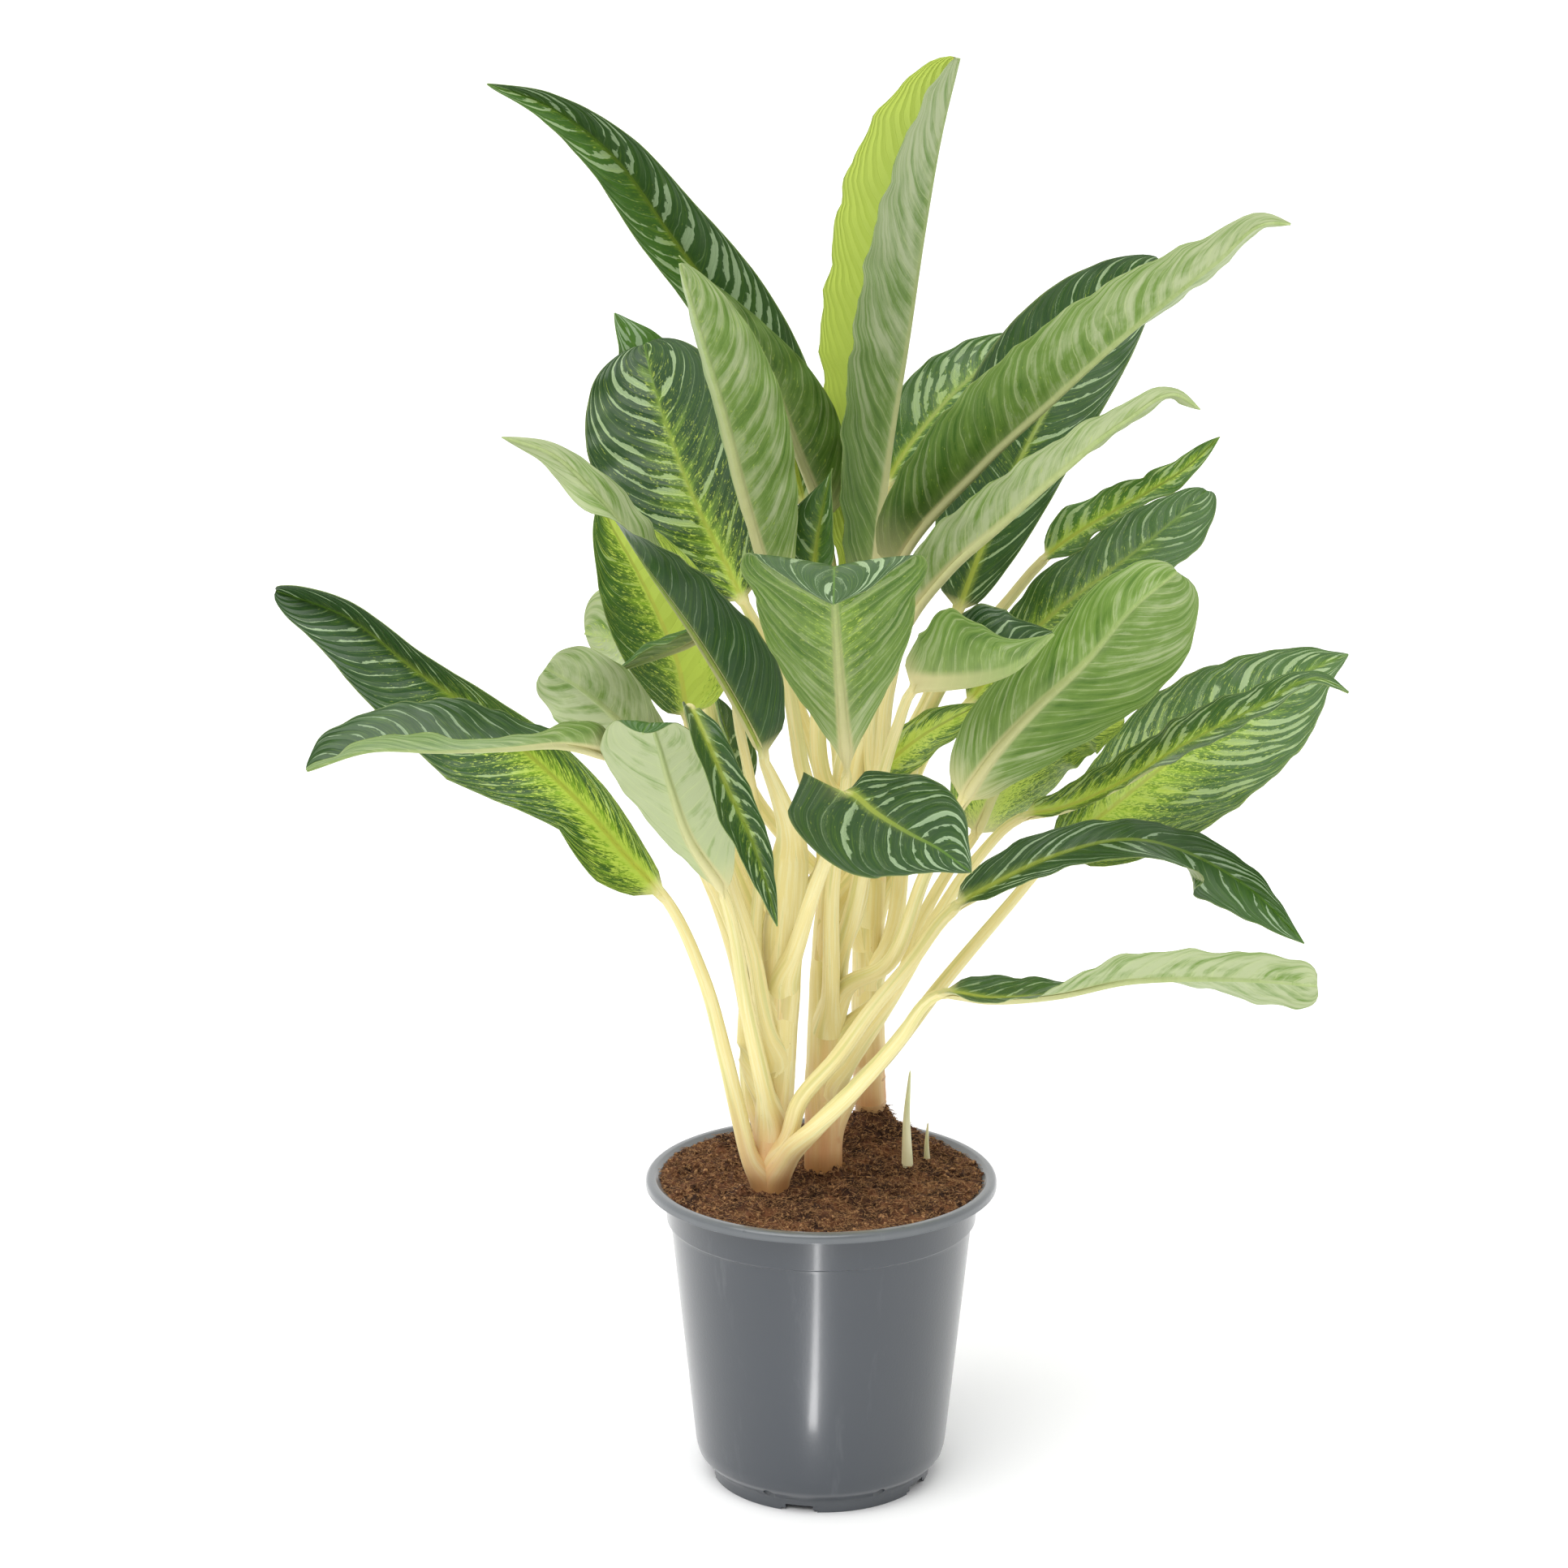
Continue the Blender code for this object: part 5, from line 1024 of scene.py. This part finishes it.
def makeLeafMaterial():
    c = leafColours
    skin = Sheet("leafSkin", Specular_IOR_Level=0.38)
    mix, step, clamp, grain, vector = skin.mix, skin.step, skin.clamp, skin.grain, skin.vector
    q, s, seed = skin.parts(skin.attribute("veins"))
    t, across, under = skin.parts(skin.attribute("blade"))
    silver, lime, dark = skin.parts(skin.attribute("look"))
    pale, stalk, warm = skin.parts(skin.attribute("tone"))
    out = abs(s)
    side = skin.math("GREATER_THAN", s, 0)
    shift = seed * 7.31 + side * 3.7

    # lateral veins: the nearest one has a number, and gap is the share of the way to the next
    drift = grain(q * 0.34, out * 1.2, shift, 2)
    order = q / leafBuild["veinSpacing"] + side * 0.5 + drift * 1.25
    number = skin.math("ROUND", order)
    past = order - number
    gap = abs(past)
    luck = skin.chance(vector(number, side, seed))
    patch = grain(number * 3.7, out * 4.2, shift, 3)
    torn = grain(q * 4.6, across * 3.8, shift, 4, 0.82)
    fine = grain(q * 15, out * 2.2, shift, 3, 0.6)
    cloud = grain(q * 0.8, s * 2.5, shift, 3)
    speck = grain(q * 8.5, across * 4.2, shift + 4, 4, 0.75)
    swathe = step(luck, 0.25, 0.7) * clamp(patch * 4.6 - 1.6)
    ends = step(out, 0.03, 0.14) * (1 - step(out, 0.78, 1.0) * 0.8)
    edge = silver * ends * (0.36 * swathe - 0.01) + (torn - 0.5) * 0.60 * silver * clamp(swathe * 1.8)
    band = step(edge - abs(past - edge * 0.5), 0.0, 0.025) * step(silver, 0.1, 0.4)
    thread = (1 - step(gap, 0.010, 0.045)) * (0.30 + 0.70 * step(patch + luck * 0.3, 0.45, 0.75))
    soft = 1 - step(gap, 0.02, 0.34)

    # upper side
    ground = mix(clamp(dark * 1.15 + (cloud - 0.5) * 0.6), c["green"], c["deep"])
    ground = mix(step(fine, 0.48, 0.78) * 0.20, ground, c["lime"])
    # painted sheen: a grey-green cast like light glancing off dark leaves, mixed into the ground more where
    # there is silver, mottled by the cloud noise and less on lime leaves
    ground = mix(clamp(silver * 0.14 + (cloud - 0.55) * 0.3) * (1 - lime * 0.5), ground, c["paintedSheen"])
    inner = clamp(1 - out * 1.6)
    flush = clamp(lime * 0.95 - 0.42 + (cloud - 0.5) * 1.1 + (inner * 1.4 - 0.36) * lime
                  + (fine - 0.5) * 0.6 + (soft - 0.5) * 0.5 * lime)
    ground = mix(flush * 0.92, ground, c["lime"])
    specks = step(speck + lime * 0.16 + inner * lime * 0.16, 0.66, 0.74)
    ground = mix(specks * clamp(lime * 1.5 + 0.1), ground, c["speck"])
    bands = clamp(band * 0.92 + thread * (0.16 + silver * 0.40))
    bandTone = mix(clamp(flush * 0.8 + lime * 0.5), c["silver"], c["speck"])
    upper = mix(clamp(bands * (0.80 + (fine - 0.5) * 0.6)), ground, bandTone)
    ribWidth = 0.035 + 0.10 * (1 - t)
    rib = 1 - step(abs(across), ribWidth * 0.6, ribWidth * 1.3)
    ribTone = mix(clamp((1 - t) * 0.75 - 0.15 + lime * 0.5), c["rib"], c["ribPale"])
    feather = (1 - step(abs(across) + (torn - 0.5) * 0.5, ribWidth, ribWidth * 3.2)) * lime * (1.1 - t)
    upper = mix(clamp(feather * 1.1), upper, c["speck"])
    upper = mix(rib * 0.85, upper, ribTone)
    upper = mix(step(out, 0.965, 0.998) * 0.35, upper, c["margin"])

    # underside: the same pattern, faint, with a cream midrib
    drape = grain(q * 2.4, out * 1.1, shift + 9, 3)
    # painted shading of the quilted relief: each strip between veins darker on one side and lighter on the
    # other, as if lit from one side
    paintedVeinShade = step(past, -0.30, 0.45) - 0.5
    tender = clamp(pale + (cloud - 0.5) * 1.2 + (drape - 0.5) * 1.0 + (fine - 0.5) * 0.45
                   + (torn - 0.5) * 0.4 + paintedVeinShade * 0.16)
    below = mix(clamp(tender * 2), c["under"], c["underMid"])
    below = mix(clamp(tender * 2 - 1), below, c["underPale"])
    below = mix(clamp(soft * 0.06 + thread * 0.40), below, c["underVein"])
    below = mix(clamp(band * 0.30 + step(fine, 0.5, 0.8) * 0.10), below, c["underPale"])
    below = mix(clamp(flush * 0.5), below, c["lime"])
    below = mix(specks * clamp(lime * 1.4 + 0.25), below, c["speck"])
    ribWidth = 0.05 + 0.24 * (1 - t) ** 1.2
    glow = 1 - step(abs(across), ribWidth, ribWidth * 4.5)
    below = mix(glow * 0.24 * (1 - t * 0.6), below, c["underVein"])
    rib = 1 - step(abs(across), ribWidth * 0.8, ribWidth * 1.7)
    ribTone = mix(clamp(t * 1.5 - 0.1), c["cream"], c["creamTip"])
    below = mix(rib * (0.95 - 0.35 * t), below, ribTone)
    below = mix((1 - step(t, 0.0, 0.16)) * 0.7, below, c["cream"])
    below = mix(step(out, 0.965, 0.998) * 0.3, below, c["margin"])

    # stalk and sheath
    streak = grain(q * 0.30, s * 15, shift, 4, 0.6)
    wide = grain(q * 0.10, s * 3.2, shift, 2)
    stem = mix(step(streak, 0.42, 0.62) * 0.55, c["stalk"], c["stalkPale"])
    stem = mix(step(streak, 0.56, 0.74) * 0.55, stem, c["stalkGreen"])
    stem = mix(step(wide, 0.50, 0.68) * 0.50, stem, c["stalkGreen"])
    lowness = 1 - step(skin.parts(skin.place())[2], *[v * cm for v in leafBuild["stalkLow"]])
    stem = mix(clamp(warm * 0.45 + lowness * 0.85 - 0.2 + (wide - 0.5) * 1.4), stem, c["stalkWarm"])
    stem = mix(step(lowness, 0.88, 1.0) * 0.75, stem, c["stalkFoot"])
    fleck = step(grain(q * 3.2, s * 26, shift, 3, 0.7), 0.70, 0.75)
    stem = mix(fleck * 0.5, stem, c["fleck"])

    colour = mix(stalk, mix(under, upper, below), stem)
    rough = skin.parts(mix(under, c["glossUpper"], c["glossUnder"]))[0] + 0.12 * fine + 0.06 * bands
    swell = skin.math("COSINE", gap * math.pi)
    height = (1 - 1.25 * under) * (0.7 - swell * 0.7 - thread * 0.3) + fine * 0.18
    height = height * (1 - stalk) + streak * stalk * 0.8
    return skin.finish(colour, rough, height, 0.32, 0.0013)


def makeLeaves():
    material = makeLeafMaterial()
    random.seed(11)
    for order, shape in enumerate(leaves):
        shape["seed"] = random.random() * 9
        shape["layer"] = order % 4
        piece = newPiece(shape["name"].replace("leaf_", "leaf-"), leafMesh(shape), material)
        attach(piece, "root")
        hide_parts(shape["name"])
    print(len(leaves), "leaves opened")


# Floor, light and camera: a bright backdrop behind, soft boxes at both sides, a dimmer room in front and a
# slim light lying on the floor before the pot. Places and sizes are in metres. boxes and backdrop say where
# each begins and is full, from -1 in front to 1 behind, and how much it adds to the room
studio = dict(
    floor=rgb(250, 250, 250), mottle=rgb(244, 244, 244), floorSize=160,
    room=0.24, boxes=(-0.85, -0.72, 0.62), backdrop=(0.0, 0.5, 0.34),
    sun=dict(place=(-0.36, -0.7, 1.25), strength=2.3, angle=58),
    strip=dict(place=(-0.012, -0.21, 0.004), lean=0.05, size=(0.014, 0.28), power=0.17),
)


def lamp(name, kind, place, target, energy, **fixed):
    light = bpy.data.lights.new(name, kind)
    light.energy = energy
    for key, value in fixed.items():
        setattr(light, key, value)
    made = newPiece(name, light)
    made.location = place
    made.rotation_euler = (Vector(target) - Vector(place)).to_track_quat("-Z", "Y").to_euler()
    return made


def makeWorld():
    s = studio
    world = bpy.data.worlds.new("studio")
    world.use_nodes = True
    tree = world.node_tree
    add, link = tree.nodes.new, tree.links.new
    place, split = add("ShaderNodeTexCoord"), add("ShaderNodeSeparateXYZ")
    link(place.outputs["Generated"], split.inputs[0])
    total = None
    for low, high, share in (s["boxes"], s["backdrop"]):
        ramp, joined = add("ShaderNodeMapRange"), add("ShaderNodeMath")
        ramp.interpolation_type = "SMOOTHSTEP"
        link(split.outputs[1], ramp.inputs["Value"])
        for label, value in (("From Min", low), ("From Max", high), ("To Min", 0), ("To Max", share)):
            ramp.inputs[label].default_value = value
        link(ramp.outputs[0], joined.inputs[0])
        if total:
            link(total, joined.inputs[1])
        else:
            joined.inputs[1].default_value = s["room"]
        total = joined.outputs[0]
    link(total, tree.nodes["Background"].inputs["Strength"])
    tree.nodes["Background"].inputs["Color"].default_value = (1, 1, 1, 1)
    bpy.context.scene.world = world


def makeStudio():
    s = studio
    half = s["floorSize"] / 2
    mesh = bpy.data.meshes.new("floor")
    corners = [(-half, -half, 0), (half, -half, 0), (half, half, 0), (-half, half, 0)]
    mesh.from_pydata(corners, [], [(0, 1, 2, 3)])
    paper = Sheet("floorPaper", Roughness=0.9, Specular_IOR_Level=0.2)
    mottle = paper.noise(paper.place(), 3)
    newPiece("floor", mesh, paper.finish(paper.mix(mottle * 0.1, s["floor"], s["mottle"])))
    makeWorld()
    sun = s["sun"]
    lamp("sun", "SUN", sun["place"], (0, 0, 0), sun["strength"], angle=math.radians(sun["angle"]))
    strip = s["strip"]
    x, y, z = strip["place"]
    size, sizeAlong = strip["size"]
    made = lamp("strip", "AREA", (x, y, z), (x, y + strip["lean"], 1), strip["power"], shape="RECTANGLE",
                size=size, size_y=sizeAlong)
    made.visible_camera = False
    data = bpy.data.cameras.new("camera")
    data.sensor_width = shot["sensor"]
    data.lens = shot["scale"] / shot["width"] * data.sensor_width
    camera = newPiece("camera", data)
    camera.location = [v * cm for v in shot["eye"]]
    camera.rotation_euler = (math.radians(90 - shot["down"]), 0, -math.radians(shot["turn"]))
    bpy.context.scene.camera = camera
    bpy.context.scene.view_settings.view_transform = "Standard"
    print("studio lit")


makeStudio()
makePot()
makeSoil()
makeCanes()
makeShoots()
makeLeaves()
